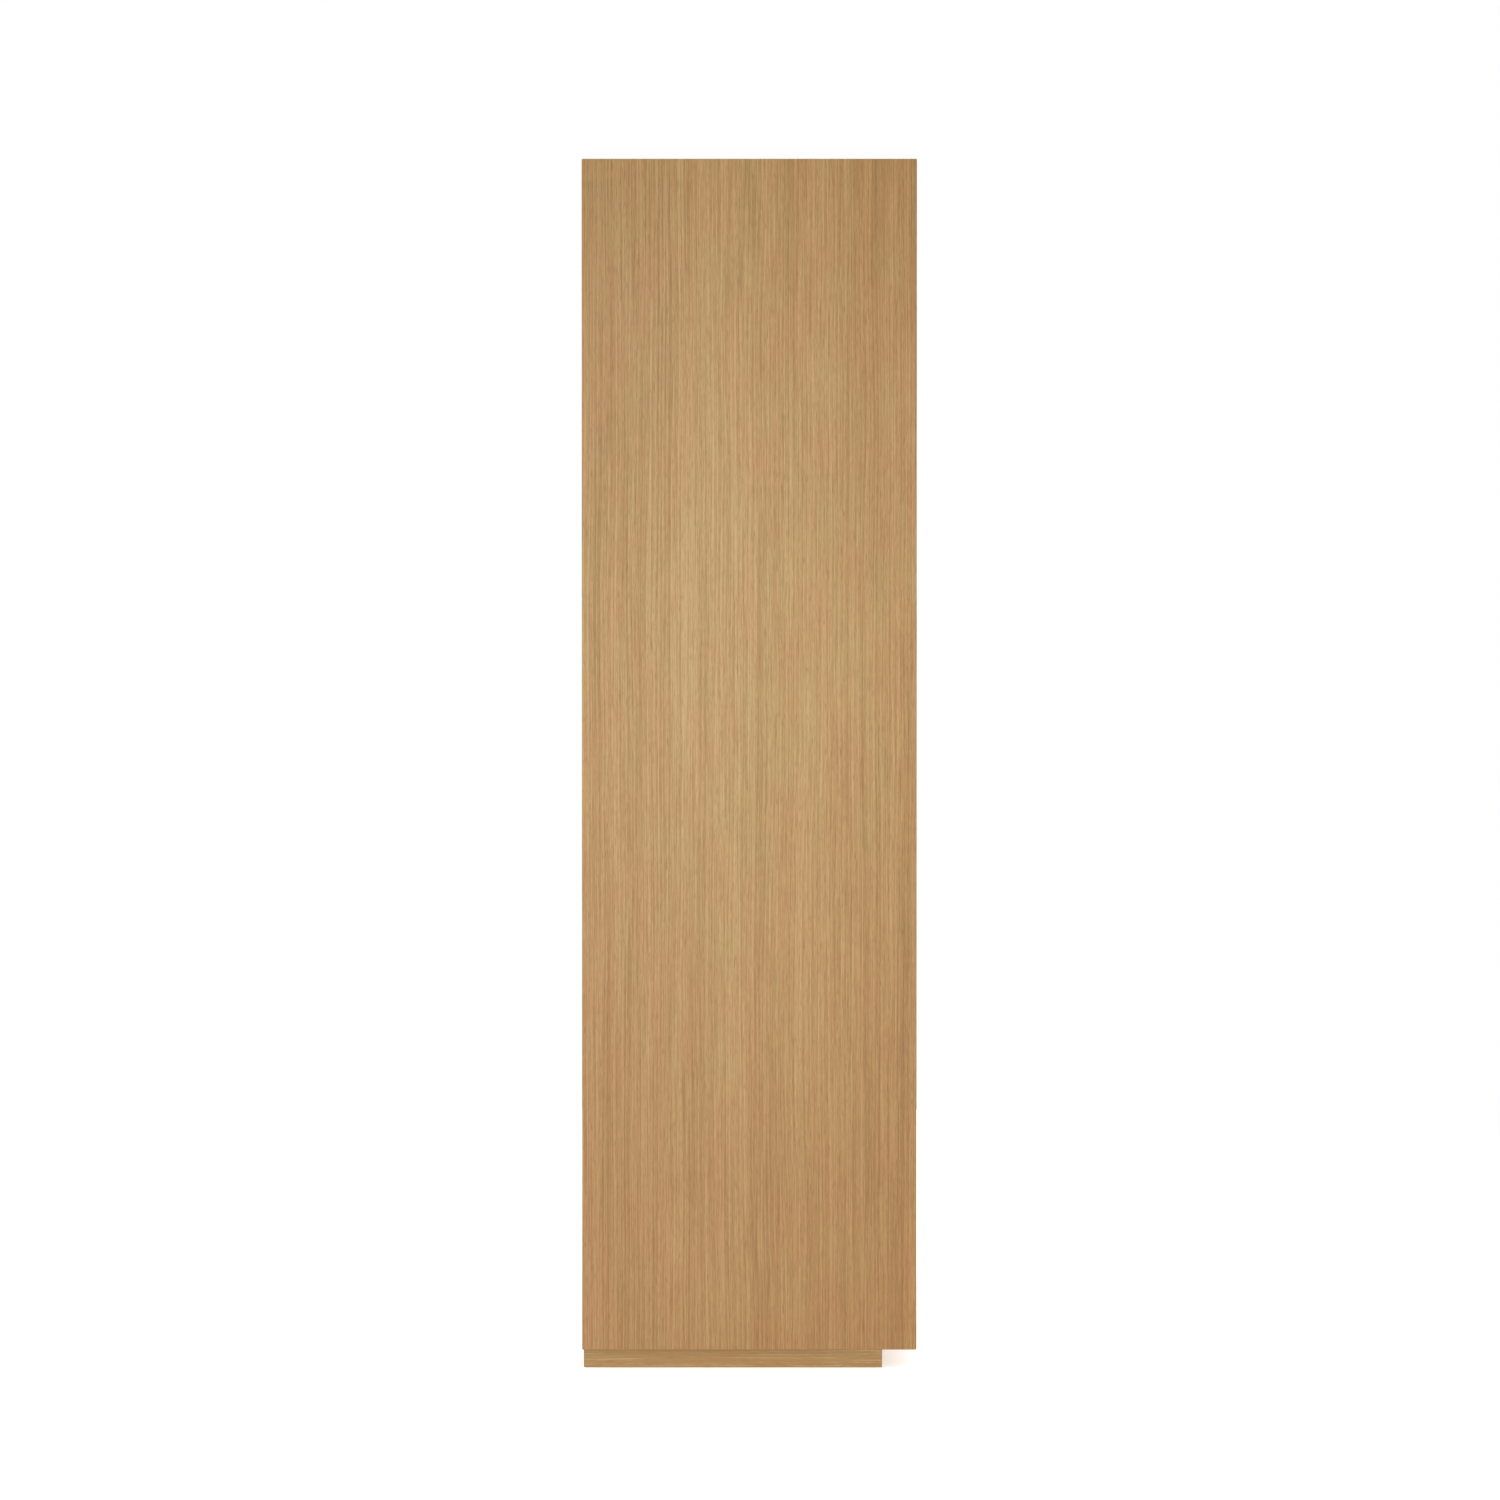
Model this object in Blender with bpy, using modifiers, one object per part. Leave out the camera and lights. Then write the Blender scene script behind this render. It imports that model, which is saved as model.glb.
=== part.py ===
"""Pantry cabinet: a tall oak-veneered case on a recessed plinth, with two inset doors.

Units are metres and +Z is up. The origin is at the middle of the cabinet's footprint, on the floor.
The doors face -Y. Each sub-part is one object, and its name is its node's name.
"""

import math

import bmesh
import bpy
from mathutils import Matrix, Vector

# Overall sizes
WIDTH = 1.000
DEPTH = 0.559
BODY_HEIGHT = 1.988
PLINTH_HEIGHT = 0.032

# Boards
CASE_BOARD = 0.022
SHELF_BOARD = 0.019
BACK_BOARD = 0.006
PLINTH_BOARD = 0.018
BRACE_BOARD = 0.016

# Fits
JOINT_GAP = 0.0003
MITRE_GAP = 0.0005
CUT_OVERRUN = 0.002

# Plinth
PLINTH_FRONT_RECESS = 0.057
PLINTH_SIDE_RECESS = 0.012
PLINTH_REAR_RECESS = 0.002
BRACE_ABOVE_FLOOR = 0.001

# Back
BACK_INSET = 0.018
BACK_GROOVE_DEPTH = 0.008
BACK_GROOVE_PLAY = 0.0005
ANCHOR_RAIL_HEIGHT = 0.080

# Doors
DOOR_BOARD = 0.022
DOOR_REVEAL = 0.003
DOOR_SETBACK = 0.001
DOOR_END_EASE = 0.001
DOOR_SWING_CLEARANCE = 0.0005
PULL_HEIGHT = 1.050
PULL_RADIUS = 0.018
PULL_STRAIGHT = 0.130

# Knife hinges: the pin stands this far from the door's front face and from its hinge edge
PIVOT_INSET = 0.008
LEAF_WIDTH = 0.012
LEAF_LENGTH = 0.072
LEAF_THICKNESS = 0.0025
PIN_RADIUS = 0.0030
PIN_REACH = 0.008
WASHER_RIM = 0.0022  # how much wider than the pin the washer is
PIN_CLEARANCE = 0.0004
LEAF_SCREW_HOLE_RADIUS = 0.0020
LEAF_SCREW_POSITIONS = (0.028, 0.056)

# Magnetic catches
CATCH_WIDTH = 0.058
CATCH_DEPTH = 0.016
CATCH_HEIGHT = 0.015
STRIKE_WIDTH = 0.024
STRIKE_HEIGHT = 0.014
STRIKE_THICKNESS = 0.0012
STRIKE_EDGE_MARGIN = 0.0015

# Shelves
FIXED_SHELF_HEIGHT = 0.860
FIXED_SHELF_SETBACK = 0.006
LOOSE_SHELF_SETBACK = 0.030
LOOSE_SHELF_SIDE_PLAY = 0.0020
LOOSE_SHELF_BACK_PLAY = 0.0030
UPPER_LOOSE_SHELVES = 3
LOWER_LOOSE_SHELVES = 1

# Shelf pins and their holes
PIN_HOLE_CLEARANCE = 0.0003
PIN_HOLE_SPARE_DEPTH = 0.0015
PIN_HOLE_PITCH = 0.032
PIN_HOLES_EACH_WAY = 2
PIN_FRONT_SETBACK = 0.037
PIN_REAR_SETBACK = 0.060
SHELF_PIN_RADIUS = 0.0025
SHELF_PIN_EMBEDDED = 0.0105
SHELF_PIN_COLLAR_RADIUS = 0.0036
SHELF_PIN_COLLAR_THICKNESS = 0.0012
SHELF_PIN_NOSE_RADIUS = 0.0029
SHELF_PIN_NOSE_LENGTH = 0.0085
SHELF_PIN_NOSE_CHAMFER = 0.0008

# Levelling feet
FOOT_INSET = 0.070
FOOT_LIFT = 0.0010
FOOT_PAD_RADIUS = 0.016
FOOT_PAD_THICKNESS = 0.006
FOOT_PAD_CHAMFER = 0.0012
FOOT_STUD_RADIUS = 0.0040
FOOT_STUD_CLEARANCE = 0.0004
FOOT_STUD_BELOW_TOP = 0.004
SOCKET_BARREL_RADIUS = 0.0065
SOCKET_BARREL_LENGTH = 0.015
SOCKET_FLANGE_RADIUS = 0.0150
SOCKET_FLANGE_THICKNESS = 0.0030
SOCKET_HOLE_CLEARANCE = 0.0005

# Wall brackets
BRACKET_WIDTH = 0.040
BRACKET_LEG = 0.040
BRACKET_STEEL = 0.0022
BRACKET_HOLE_RADIUS = 0.0028
BRACKET_HOLE_FROM_CORNER = 0.024
BRACKET_FROM_SIDE = 0.120

# Round pieces
HOLE_SIDES = 8
PIN_STEPS = 8
LEAF_SIDES = 16
PULL_SIDES = 28
FOOT_STEPS = 18
SHARP_ANGLE = math.radians(50)

# Planes that several pieces share
FRONT_Y = -DEPTH / 2
REAR_Y = DEPTH / 2
BODY_BOTTOM = PLINTH_HEIGHT
BODY_TOP = PLINTH_HEIGHT + BODY_HEIGHT
INNER_HALF = WIDTH / 2 - CASE_BOARD
INNER_FLOOR = BODY_BOTTOM + CASE_BOARD
INNER_CEILING = BODY_TOP - CASE_BOARD
DOOR_FRONT_Y = FRONT_Y + DOOR_SETBACK
DOOR_BACK_Y = DOOR_FRONT_Y + DOOR_BOARD
BACK_REAR_Y = REAR_Y - BACK_INSET
BACK_FRONT_Y = BACK_REAR_Y - BACK_BOARD
FIXED_SHELF_TOP = FIXED_SHELF_HEIGHT + CASE_BOARD
DOOR_WIDTH = INNER_HALF - DOOR_REVEAL - DOOR_REVEAL / 2
PIVOT_X = INNER_HALF - DOOR_REVEAL - PIVOT_INSET
PIVOT_Y = DOOR_FRONT_Y + PIVOT_INSET
WASHER_RADIUS = PIN_RADIUS + WASHER_RIM
PIN_HOLE_RADIUS = SHELF_PIN_RADIUS + PIN_HOLE_CLEARANCE
PIN_HOLE_DEPTH = SHELF_PIN_EMBEDDED + PIN_HOLE_SPARE_DEPTH
FOOT_HOLE_RADIUS = SOCKET_BARREL_RADIUS + SOCKET_HOLE_CLEARANCE

# A door's hinge corner swings round the pin on a radius of sqrt(2) times the inset, and its edge is rounded
# so that this corner clears the side panel.
DOOR_SIDE_EASE = PIVOT_INSET - (DOOR_REVEAL - DOOR_SWING_CLEARANCE) / (math.sqrt(2) - 1)

SIDES = {"left": -1, "right": 1}
ENDS = {"lower": -1, "upper": 1}


def clear_scene():
    for obj in list(bpy.data.objects):
        bpy.data.objects.remove(obj)


def new_collection(name):
    collection = bpy.data.collections.new(name)
    bpy.context.scene.collection.children.link(collection)
    return collection


def make_material(name, colour, roughness, metallic=0.0):
    material = bpy.data.materials.new(name)
    material.use_nodes = True
    shader = material.node_tree.nodes["Principled BSDF"]
    shader.inputs["Base Color"].default_value = (*colour, 1.0)
    shader.inputs["Roughness"].default_value = roughness
    shader.inputs["Metallic"].default_value = metallic
    material.diffuse_color = (*colour, 1.0)
    return material


clear_scene()
CABINET = new_collection("pantry_cabinet")
CUTTERS = new_collection("cutters")
OAK = make_material("oak_veneer", (0.47, 0.29, 0.13), 0.45)
OAK_INSIDE = make_material("oak_inside", (0.50, 0.32, 0.15), 0.50)
BACKING = make_material("oak_back_panel", (0.46, 0.29, 0.14), 0.55)
BIRCH = make_material("birch_plywood", (0.62, 0.47, 0.29), 0.60)
NICKEL = make_material("satin_nickel", (0.58, 0.56, 0.52), 0.32, 1.0)
ZINC = make_material("zinc_steel", (0.62, 0.63, 0.64), 0.38, 1.0)
CATCH_PLASTIC = make_material("catch_housing", (0.42, 0.36, 0.29), 0.50)


# ---------------------------------------------------------------- building blocks


def link(name, mesh, collection, material=None):
    obj = bpy.data.objects.new(name, mesh)
    collection.objects.link(obj)
    if material:
        mesh.materials.append(material)
    if collection is CUTTERS:
        obj.hide_render = True
        obj.display_type = "WIRE"
    return obj


def place(obj, position, parent=None):
    """Puts an object at a world position, under a parent empty that may lie elsewhere."""
    obj.parent = parent
    obj.location = Vector(position) - (parent.location if parent else Vector())
    return obj


def empty(name, position):
    obj = bpy.data.objects.new(name, None)
    CABINET.objects.link(obj)
    obj.location = position
    obj.empty_display_size = 0.05
    return obj


def box_mesh(name, size):
    """A box primitive of that size, centred on its own origin."""
    mesh = bpy.data.meshes.new(name)
    shape = bmesh.new()
    bmesh.ops.create_cube(shape, size=1.0)
    bmesh.ops.scale(shape, vec=size, verts=shape.verts)
    shape.to_mesh(mesh)
    shape.free()
    return mesh


def box(name, low, high, material=None, parent=None, collection=CABINET):
    """A box between two world corners."""
    low, high = Vector(low), Vector(high)
    obj = link(name, box_mesh(name, high - low), collection, material)
    return place(obj, (low + high) / 2, parent)


def rod_mesh(name, radius, length, sides, axis="Z", stretch=0.0):
    """A closed cylinder along an axis. A stretch pulls its halves apart along X into a slot's outline."""
    mesh = bpy.data.meshes.new(name)
    shape = bmesh.new()
    half_step = Matrix.Rotation(math.pi / sides, 4, "Z")
    bmesh.ops.create_cone(
        shape, cap_ends=True, segments=sides, radius1=radius, radius2=radius, depth=length, matrix=half_step
    )
    for vert in shape.verts:
        vert.co.x += math.copysign(stretch / 2, vert.co.x) if stretch else 0.0
    turn = {"X": Matrix.Rotation(math.pi / 2, 4, "Y"), "Y": Matrix.Rotation(math.pi / 2, 4, "X")}
    if axis in turn:
        bmesh.ops.transform(shape, matrix=turn[axis], verts=shape.verts)
    shape.to_mesh(mesh)
    shape.free()
    mesh.shade_smooth()
    mesh.set_sharp_from_angle(angle=SHARP_ANGLE)
    return mesh


def rod(name, radius, length, sides, centre, axis="Z", stretch=0.0, collection=CUTTERS):
    return place(link(name, rod_mesh(name, radius, length, sides, axis, stretch), collection), centre)


def row_of_rods(name, radius, length, sides, centres, axis):
    """Cylinders that stand apart, as one cutter."""
    shape = bmesh.new()
    for centre in centres:
        single = rod_mesh(name + "_single", radius, length, sides, axis)
        single.transform(Matrix.Translation(centre))
        shape.from_mesh(single)
        bpy.data.meshes.remove(single)
    mesh = bpy.data.meshes.new(name)
    shape.to_mesh(mesh)
    shape.free()
    return link(name, mesh, CUTTERS)


def boolean(obj, other, operation):
    modifier = obj.modifiers.new(other.name, "BOOLEAN")
    modifier.operation = operation
    modifier.object = other
    return obj


def cut(obj, *cutters):
    for cutter in cutters:
        boolean(obj, cutter, "DIFFERENCE")
    return obj


def turned(name, profile, material, steps, closed=False):
    """A turned piece about Z. Its profile is (radius, height) points, top to bottom on the outer side."""
    mesh = bpy.data.meshes.new(name)
    edges = [(i, i + 1) for i in range(len(profile) - 1)]
    if closed:
        edges.append((len(profile) - 1, 0))
    mesh.from_pydata([(radius, 0.0, height) for radius, height in profile], edges, [])
    obj = link(name, mesh, CABINET, material)
    screw = obj.modifiers.new("turn", "SCREW")
    screw.axis = "Z"
    screw.steps = screw.render_steps = steps
    screw.use_merge_vertices = True
    screw.merge_threshold = 0.00001
    return obj


def shorten_inner_face(obj, along, across, inner_sign, board):
    """Mitres a box board: its inner face's corners are pulled in along it by the board's thickness."""
    for vert in obj.data.vertices:
        if vert.co[across] * inner_sign > 0:
            vert.co[along] -= math.copysign(board, vert.co[along])
    return obj


def ease_edges(obj, width, weight_of):
    """Rounds the edges that weight_of gives a share of the width, from the edge's two end points."""
    mesh = obj.data
    weights = mesh.attributes.new("bevel_weight_edge", "FLOAT", "EDGE")
    for edge in mesh.edges:
        ends = [mesh.vertices[i].co for i in edge.vertices]
        weights.data[edge.index].value = weight_of(*ends)
    bevel = obj.modifiers.new("eased_edges", "BEVEL")
    bevel.limit_method = "WEIGHT"
    bevel.width = width
    bevel.segments = 3
    return obj


# ---------------------------------------------------------------- levels of the shelves


def spaced_shelf_levels(below, above, count):
    """Undersides of loose shelves that share the height between two boards evenly."""
    clear = (above - below - count * SHELF_BOARD) / (count + 1)
    return [below + clear * (i + 1) + SHELF_BOARD * i for i in range(count)]


LOOSE_SHELF_LEVELS = spaced_shelf_levels(INNER_FLOOR, FIXED_SHELF_HEIGHT, LOWER_LOOSE_SHELVES)
LOOSE_SHELF_LEVELS += spaced_shelf_levels(FIXED_SHELF_TOP, INNER_CEILING, UPPER_LOOSE_SHELVES)
PIN_ROWS = {"front": DOOR_BACK_Y + PIN_FRONT_SETBACK, "rear": BACK_FRONT_Y - PIN_REAR_SETBACK}


def pin_level(shelf_underside):
    return shelf_underside - JOINT_GAP - SHELF_PIN_NOSE_RADIUS


# ---------------------------------------------------------------- case


def leaf_recess(piece, side, surface, into):
    """Cutter for a hinge leaf's pocket, sunk upwards or downwards from a surface at that height."""
    height = LEAF_THICKNESS + JOINT_GAP + CUT_OVERRUN
    return rod(
        f"leaf_recess_{piece}_{side}_{'up' if into > 0 else 'down'}",
        LEAF_WIDTH / 2 + JOINT_GAP,
        height,
        LEAF_SIDES,
        (leaf_centre_x(side), PIVOT_Y, surface + into * (height / 2 - CUT_OVERRUN)),
        stretch=LEAF_LENGTH - LEAF_WIDTH,
    )


def leaf_centre_x(side):
    return SIDES[side] * (PIVOT_X - LEAF_LENGTH / 2 + LEAF_WIDTH / 2)


def make_case():
    back_groove = box(
        "back_groove",
        (-INNER_HALF - BACK_GROOVE_DEPTH, BACK_FRONT_Y - JOINT_GAP, INNER_FLOOR - BACK_GROOVE_DEPTH),
        (INNER_HALF + BACK_GROOVE_DEPTH, BACK_REAR_Y + JOINT_GAP, INNER_CEILING + BACK_GROOVE_DEPTH),
        collection=CUTTERS,
    )
    for side, direction in SIDES.items():
        inner_x, outer_x = direction * INNER_HALF, direction * WIDTH / 2
        panel = box(
            f"side_panel_{side}",
            (min(inner_x, outer_x), FRONT_Y, BODY_BOTTOM),
            (max(inner_x, outer_x), REAR_Y, BODY_TOP),
            OAK,
        )
        shorten_inner_face(panel, along=2, across=0, inner_sign=-direction, board=CASE_BOARD)
        hole_x = direction * (INNER_HALF + (PIN_HOLE_DEPTH - CUT_OVERRUN) / 2)
        holes = row_of_rods(
            f"pin_holes_{side}",
            PIN_HOLE_RADIUS,
            PIN_HOLE_DEPTH + CUT_OVERRUN,
            HOLE_SIDES,
            [
                (hole_x, y, pin_level(level) + step * PIN_HOLE_PITCH)
                for y in PIN_ROWS.values()
                for level in LOOSE_SHELF_LEVELS
                for step in range(-PIN_HOLES_EACH_WAY, PIN_HOLES_EACH_WAY + 1)
            ],
            "X",
        )
        cut(panel, back_groove, holes)

    half_width = WIDTH / 2 - MITRE_GAP
    top = box("top_panel", (-half_width, FRONT_Y, INNER_CEILING), (half_width, REAR_Y, BODY_TOP), OAK)
    shorten_inner_face(top, along=0, across=2, inner_sign=-1, board=CASE_BOARD)
    cut(top, back_groove, *(leaf_recess("case", side, INNER_CEILING, into=1) for side in SIDES))

    bottom = box("bottom_panel", (-half_width, FRONT_Y, BODY_BOTTOM), (half_width, REAR_Y, INNER_FLOOR), OAK)
    shorten_inner_face(bottom, along=0, across=2, inner_sign=1, board=CASE_BOARD)
    foot_holes = row_of_rods(
        "foot_holes",
        FOOT_HOLE_RADIUS,
        CASE_BOARD + 2 * CUT_OVERRUN,
        FOOT_STEPS,
        [(x, y, (BODY_BOTTOM + INNER_FLOOR) / 2) for x, y in foot_places().values()],
        "Z",
    )
    cut(bottom, back_groove, foot_holes, *(leaf_recess("case", side, INNER_FLOOR, into=-1) for side in SIDES))

    box(
        "fixed_shelf",
        (-INNER_HALF + JOINT_GAP, DOOR_BACK_Y + FIXED_SHELF_SETBACK, FIXED_SHELF_HEIGHT),
        (INNER_HALF - JOINT_GAP, BACK_FRONT_Y - JOINT_GAP, FIXED_SHELF_TOP),
        OAK_INSIDE,
    )


def make_back():
    half_width = INNER_HALF + BACK_GROOVE_DEPTH - BACK_GROOVE_PLAY
    seam = FIXED_SHELF_HEIGHT + CASE_BOARD / 2
    lowest = INNER_FLOOR - BACK_GROOVE_DEPTH + BACK_GROOVE_PLAY
    highest = INNER_CEILING + BACK_GROOVE_DEPTH - BACK_GROOVE_PLAY
    for name, low_z, high_z in (
        ("back_panel_lower", lowest, seam - JOINT_GAP),
        ("back_panel_upper", seam + JOINT_GAP, highest),
    ):
        box(name, (-half_width, BACK_FRONT_Y, low_z), (half_width, BACK_REAR_Y, high_z), BACKING)
    for name, low_z in (
        ("anchor_rail_bottom", INNER_FLOOR + JOINT_GAP),
        ("anchor_rail_top", INNER_CEILING - JOINT_GAP - ANCHOR_RAIL_HEIGHT),
    ):
        box(
            name,
            (-INNER_HALF + JOINT_GAP, BACK_REAR_Y + JOINT_GAP, low_z),
            (INNER_HALF - JOINT_GAP, REAR_Y, low_z + ANCHOR_RAIL_HEIGHT),
            BIRCH,
        )


def make_plinth():
    half_width = WIDTH / 2 - PLINTH_SIDE_RECESS
    front = FRONT_Y + PLINTH_FRONT_RECESS
    rear = REAR_Y - PLINTH_REAR_RECESS
    top = PLINTH_HEIGHT - JOINT_GAP
    for side, direction in SIDES.items():
        outer, inner = direction * half_width, direction * (half_width - PLINTH_BOARD)
        board = box(
            f"plinth_{side}",
            (min(outer, inner), front, 0.0),
            (max(outer, inner), rear, top),
            OAK,
        )
        shorten_inner_face(board, along=1, across=0, inner_sign=-direction, board=PLINTH_BOARD)
    reach = half_width - MITRE_GAP
    for name, low_y, inner_sign in (("plinth_front", front, 1), ("plinth_rear", rear - PLINTH_BOARD, -1)):
        board = box(name, (-reach, low_y, 0.0), (reach, low_y + PLINTH_BOARD, top), OAK)
        shorten_inner_face(board, along=0, across=1, inner_sign=inner_sign, board=PLINTH_BOARD)
    box(
        "plinth_brace",
        (-BRACE_BOARD / 2, front + PLINTH_BOARD + JOINT_GAP, BRACE_ABOVE_FLOOR),
        (BRACE_BOARD / 2, rear - PLINTH_BOARD - JOINT_GAP, top),
        BIRCH,
    )


def foot_places():
    """Where the levelling feet stand: one inside each corner of the plinth."""
    x = WIDTH / 2 - PLINTH_SIDE_RECESS - FOOT_INSET
    front = FRONT_Y + PLINTH_FRONT_RECESS + FOOT_INSET
    rear = REAR_Y - PLINTH_REAR_RECESS - FOOT_INSET
    return {
        f"{end}_{side}": (direction * x, y)
        for end, y in (("front", front), ("rear", rear))
        for side, direction in SIDES.items()
    }


def make_feet():
    socket_bore = FOOT_STUD_RADIUS + FOOT_STUD_CLEARANCE
    flange_top = -JOINT_GAP
    socket_profile = [
        (socket_bore, SOCKET_BARREL_LENGTH),
        (SOCKET_BARREL_RADIUS, SOCKET_BARREL_LENGTH),
        (SOCKET_BARREL_RADIUS, flange_top),
        (SOCKET_FLANGE_RADIUS, flange_top),
        (SOCKET_FLANGE_RADIUS, flange_top - SOCKET_FLANGE_THICKNESS),
        (socket_bore, flange_top - SOCKET_FLANGE_THICKNESS),
    ]
    stud_top = INNER_FLOOR - FOOT_STUD_BELOW_TOP - FOOT_LIFT
    foot_profile = [
        (0.0, stud_top),
        (FOOT_STUD_RADIUS, stud_top),
        (FOOT_STUD_RADIUS, FOOT_PAD_THICKNESS),
        (FOOT_PAD_RADIUS - FOOT_PAD_CHAMFER, FOOT_PAD_THICKNESS),
        (FOOT_PAD_RADIUS, FOOT_PAD_THICKNESS - FOOT_PAD_CHAMFER),
        (FOOT_PAD_RADIUS, 0.0),
        (0.0, 0.0),
    ]
    for corner, (x, y) in foot_places().items():
        socket = turned(f"foot_socket_{corner}", socket_profile, ZINC, FOOT_STEPS, closed=True)
        place(socket, (x, y, BODY_BOTTOM))
        axis = empty(f"foot_axis_{corner}", (x, y, FOOT_LIFT))
        foot = turned(f"levelling_foot_{corner}", foot_profile, ZINC, FOOT_STEPS)
        place(foot, (x, y, FOOT_LIFT), axis)


# ---------------------------------------------------------------- doors and their hinges


def make_pull_cutter():
    """The stadium-shaped finger hole, half of it in each door."""
    mesh = rod_mesh("finger_pull", PULL_RADIUS, 2 * DOOR_BOARD, PULL_SIDES, stretch=PULL_STRAIGHT)
    mesh.transform(Matrix.Rotation(math.pi / 2, 4, "X"))
    mesh.transform(Matrix.Rotation(math.pi / 2, 4, "Y"))
    return place(link("finger_pull", mesh, CUTTERS), (0.0, (DOOR_FRONT_Y + DOOR_BACK_Y) / 2, PULL_HEIGHT))


def door_edge_weight(start, end):
    """The front face's edges are eased: fully along the stiles, and by less across the ends."""
    if start.y > 0 or end.y > 0:
        return 0.0
    return 1.0 if start.x == end.x else DOOR_END_EASE / DOOR_SIDE_EASE


def make_doors():
    """Each door hangs from an empty on its hinge axis."""
    low_z = INNER_FLOOR + DOOR_REVEAL
    high_z = INNER_CEILING - DOOR_REVEAL
    pull = make_pull_cutter()
    axes = {}
    for side, direction in SIDES.items():
        hinge_edge = direction * (INNER_HALF - DOOR_REVEAL)
        meeting_edge = hinge_edge - direction * DOOR_WIDTH
        axis = empty(f"door_axis_{side}", (direction * PIVOT_X, PIVOT_Y, low_z))
        door = box(
            f"door_{side}",
            (min(hinge_edge, meeting_edge), DOOR_FRONT_Y, low_z),
            (max(hinge_edge, meeting_edge), DOOR_BACK_Y, high_z),
            OAK,
            parent=axis,
        )
        ease_edges(door, DOOR_SIDE_EASE, door_edge_weight)
        pin_holes = row_of_rods(
            f"hinge_pin_holes_{side}",
            PIN_RADIUS + PIN_CLEARANCE,
            2 * (DOOR_REVEAL + PIN_REACH + JOINT_GAP),
            LEAF_SIDES,
            [(direction * PIVOT_X, PIVOT_Y, z) for z in (INNER_FLOOR, INNER_CEILING)],
            "Z",
        )
        lower_pocket = leaf_recess("door", side, low_z, into=1)
        upper_pocket = leaf_recess("door", side, high_z, into=-1)
        cut(door, pull, lower_pocket, upper_pocket, pin_holes)
        axes[side] = axis
    return axes


def leaf_blank(name, side, low_z, material, parent=None):
    """A knife hinge's flat leaf: a strip with round ends, one of them round about the pin."""
    middle_z = low_z + LEAF_THICKNESS / 2
    mesh = rod_mesh(name, LEAF_WIDTH / 2, LEAF_THICKNESS, LEAF_SIDES, stretch=LEAF_LENGTH - LEAF_WIDTH)
    leaf = link(name, mesh, CABINET, material)
    place(leaf, (leaf_centre_x(side), PIVOT_Y, middle_z), parent)
    screw_holes = row_of_rods(
        name + "_screw_holes",
        LEAF_SCREW_HOLE_RADIUS,
        LEAF_THICKNESS + 2 * CUT_OVERRUN,
        HOLE_SIDES,
        [(SIDES[side] * (PIVOT_X - distance), PIVOT_Y, middle_z) for distance in LEAF_SCREW_POSITIONS],
        "Z",
    )
    return cut(leaf, screw_holes)


def make_hinges(door_axes):
    """Four knife hinges: each has a leaf with a pin in the case, and a leaf with a hole in the door's end."""
    for side, direction in SIDES.items():
        for end, sign in ENDS.items():
            boundary = INNER_FLOOR if sign < 0 else INNER_CEILING
            inward = -sign
            case_face = boundary
            door_face = boundary + inward * DOOR_REVEAL
            case_low = min(case_face, case_face - inward * LEAF_THICKNESS)
            door_low = min(door_face, door_face + inward * LEAF_THICKNESS)
            case_leaf = leaf_blank(f"hinge_case_leaf_{side}_{end}", side, case_low, NICKEL)
            root = case_face - inward * LEAF_THICKNESS / 2
            for part, radius, tip in (
                ("washer", WASHER_RADIUS, case_face + inward * (DOOR_REVEAL - JOINT_GAP)),
                ("pin", PIN_RADIUS, case_face + inward * (DOOR_REVEAL + PIN_REACH)),
            ):
                stem = rod(
                    f"hinge_{part}_{side}_{end}",
                    radius,
                    abs(tip - root),
                    LEAF_SIDES,
                    (direction * PIVOT_X, PIVOT_Y, (tip + root) / 2),
                )
                boolean(case_leaf, stem, "UNION")
            door_leaf = leaf_blank(f"hinge_door_leaf_{side}_{end}", side, door_low, NICKEL, door_axes[side])
            pin_hole = rod(
                f"leaf_pin_hole_{side}_{end}",
                PIN_RADIUS + PIN_CLEARANCE,
                LEAF_THICKNESS + 2 * CUT_OVERRUN,
                LEAF_SIDES,
                (direction * PIVOT_X, PIVOT_Y, door_low + LEAF_THICKNESS / 2),
            )
            cut(door_leaf, pin_hole)


def make_catches(door_axes):
    """A double magnetic catch in the middle at each end, and a steel strike for it on each door."""
    strike_front = DOOR_BACK_Y + JOINT_GAP
    catch_front = strike_front + STRIKE_THICKNESS + JOINT_GAP
    for end, sign in ENDS.items():
        against = INNER_CEILING - JOINT_GAP if sign > 0 else INNER_FLOOR + JOINT_GAP
        away = against - sign * CATCH_HEIGHT
        box(
            f"magnetic_catch_{end}",
            (-CATCH_WIDTH / 2, catch_front, min(against, away)),
            (CATCH_WIDTH / 2, catch_front + CATCH_DEPTH, max(against, away)),
            CATCH_PLASTIC,
        )
        door_end = INNER_CEILING - DOOR_REVEAL if sign > 0 else INNER_FLOOR + DOOR_REVEAL
        outer_z = door_end - sign * STRIKE_EDGE_MARGIN
        inner_z = outer_z - sign * STRIKE_HEIGHT
        for side, direction in SIDES.items():
            near = direction * (DOOR_REVEAL / 2 + STRIKE_EDGE_MARGIN)
            far = near + direction * STRIKE_WIDTH
            box(
                f"strike_plate_{side}_{end}",
                (min(near, far), strike_front, min(outer_z, inner_z)),
                (max(near, far), strike_front + STRIKE_THICKNESS, max(outer_z, inner_z)),
                NICKEL,
                parent=door_axes[side],
            )


# ---------------------------------------------------------------- inside


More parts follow.
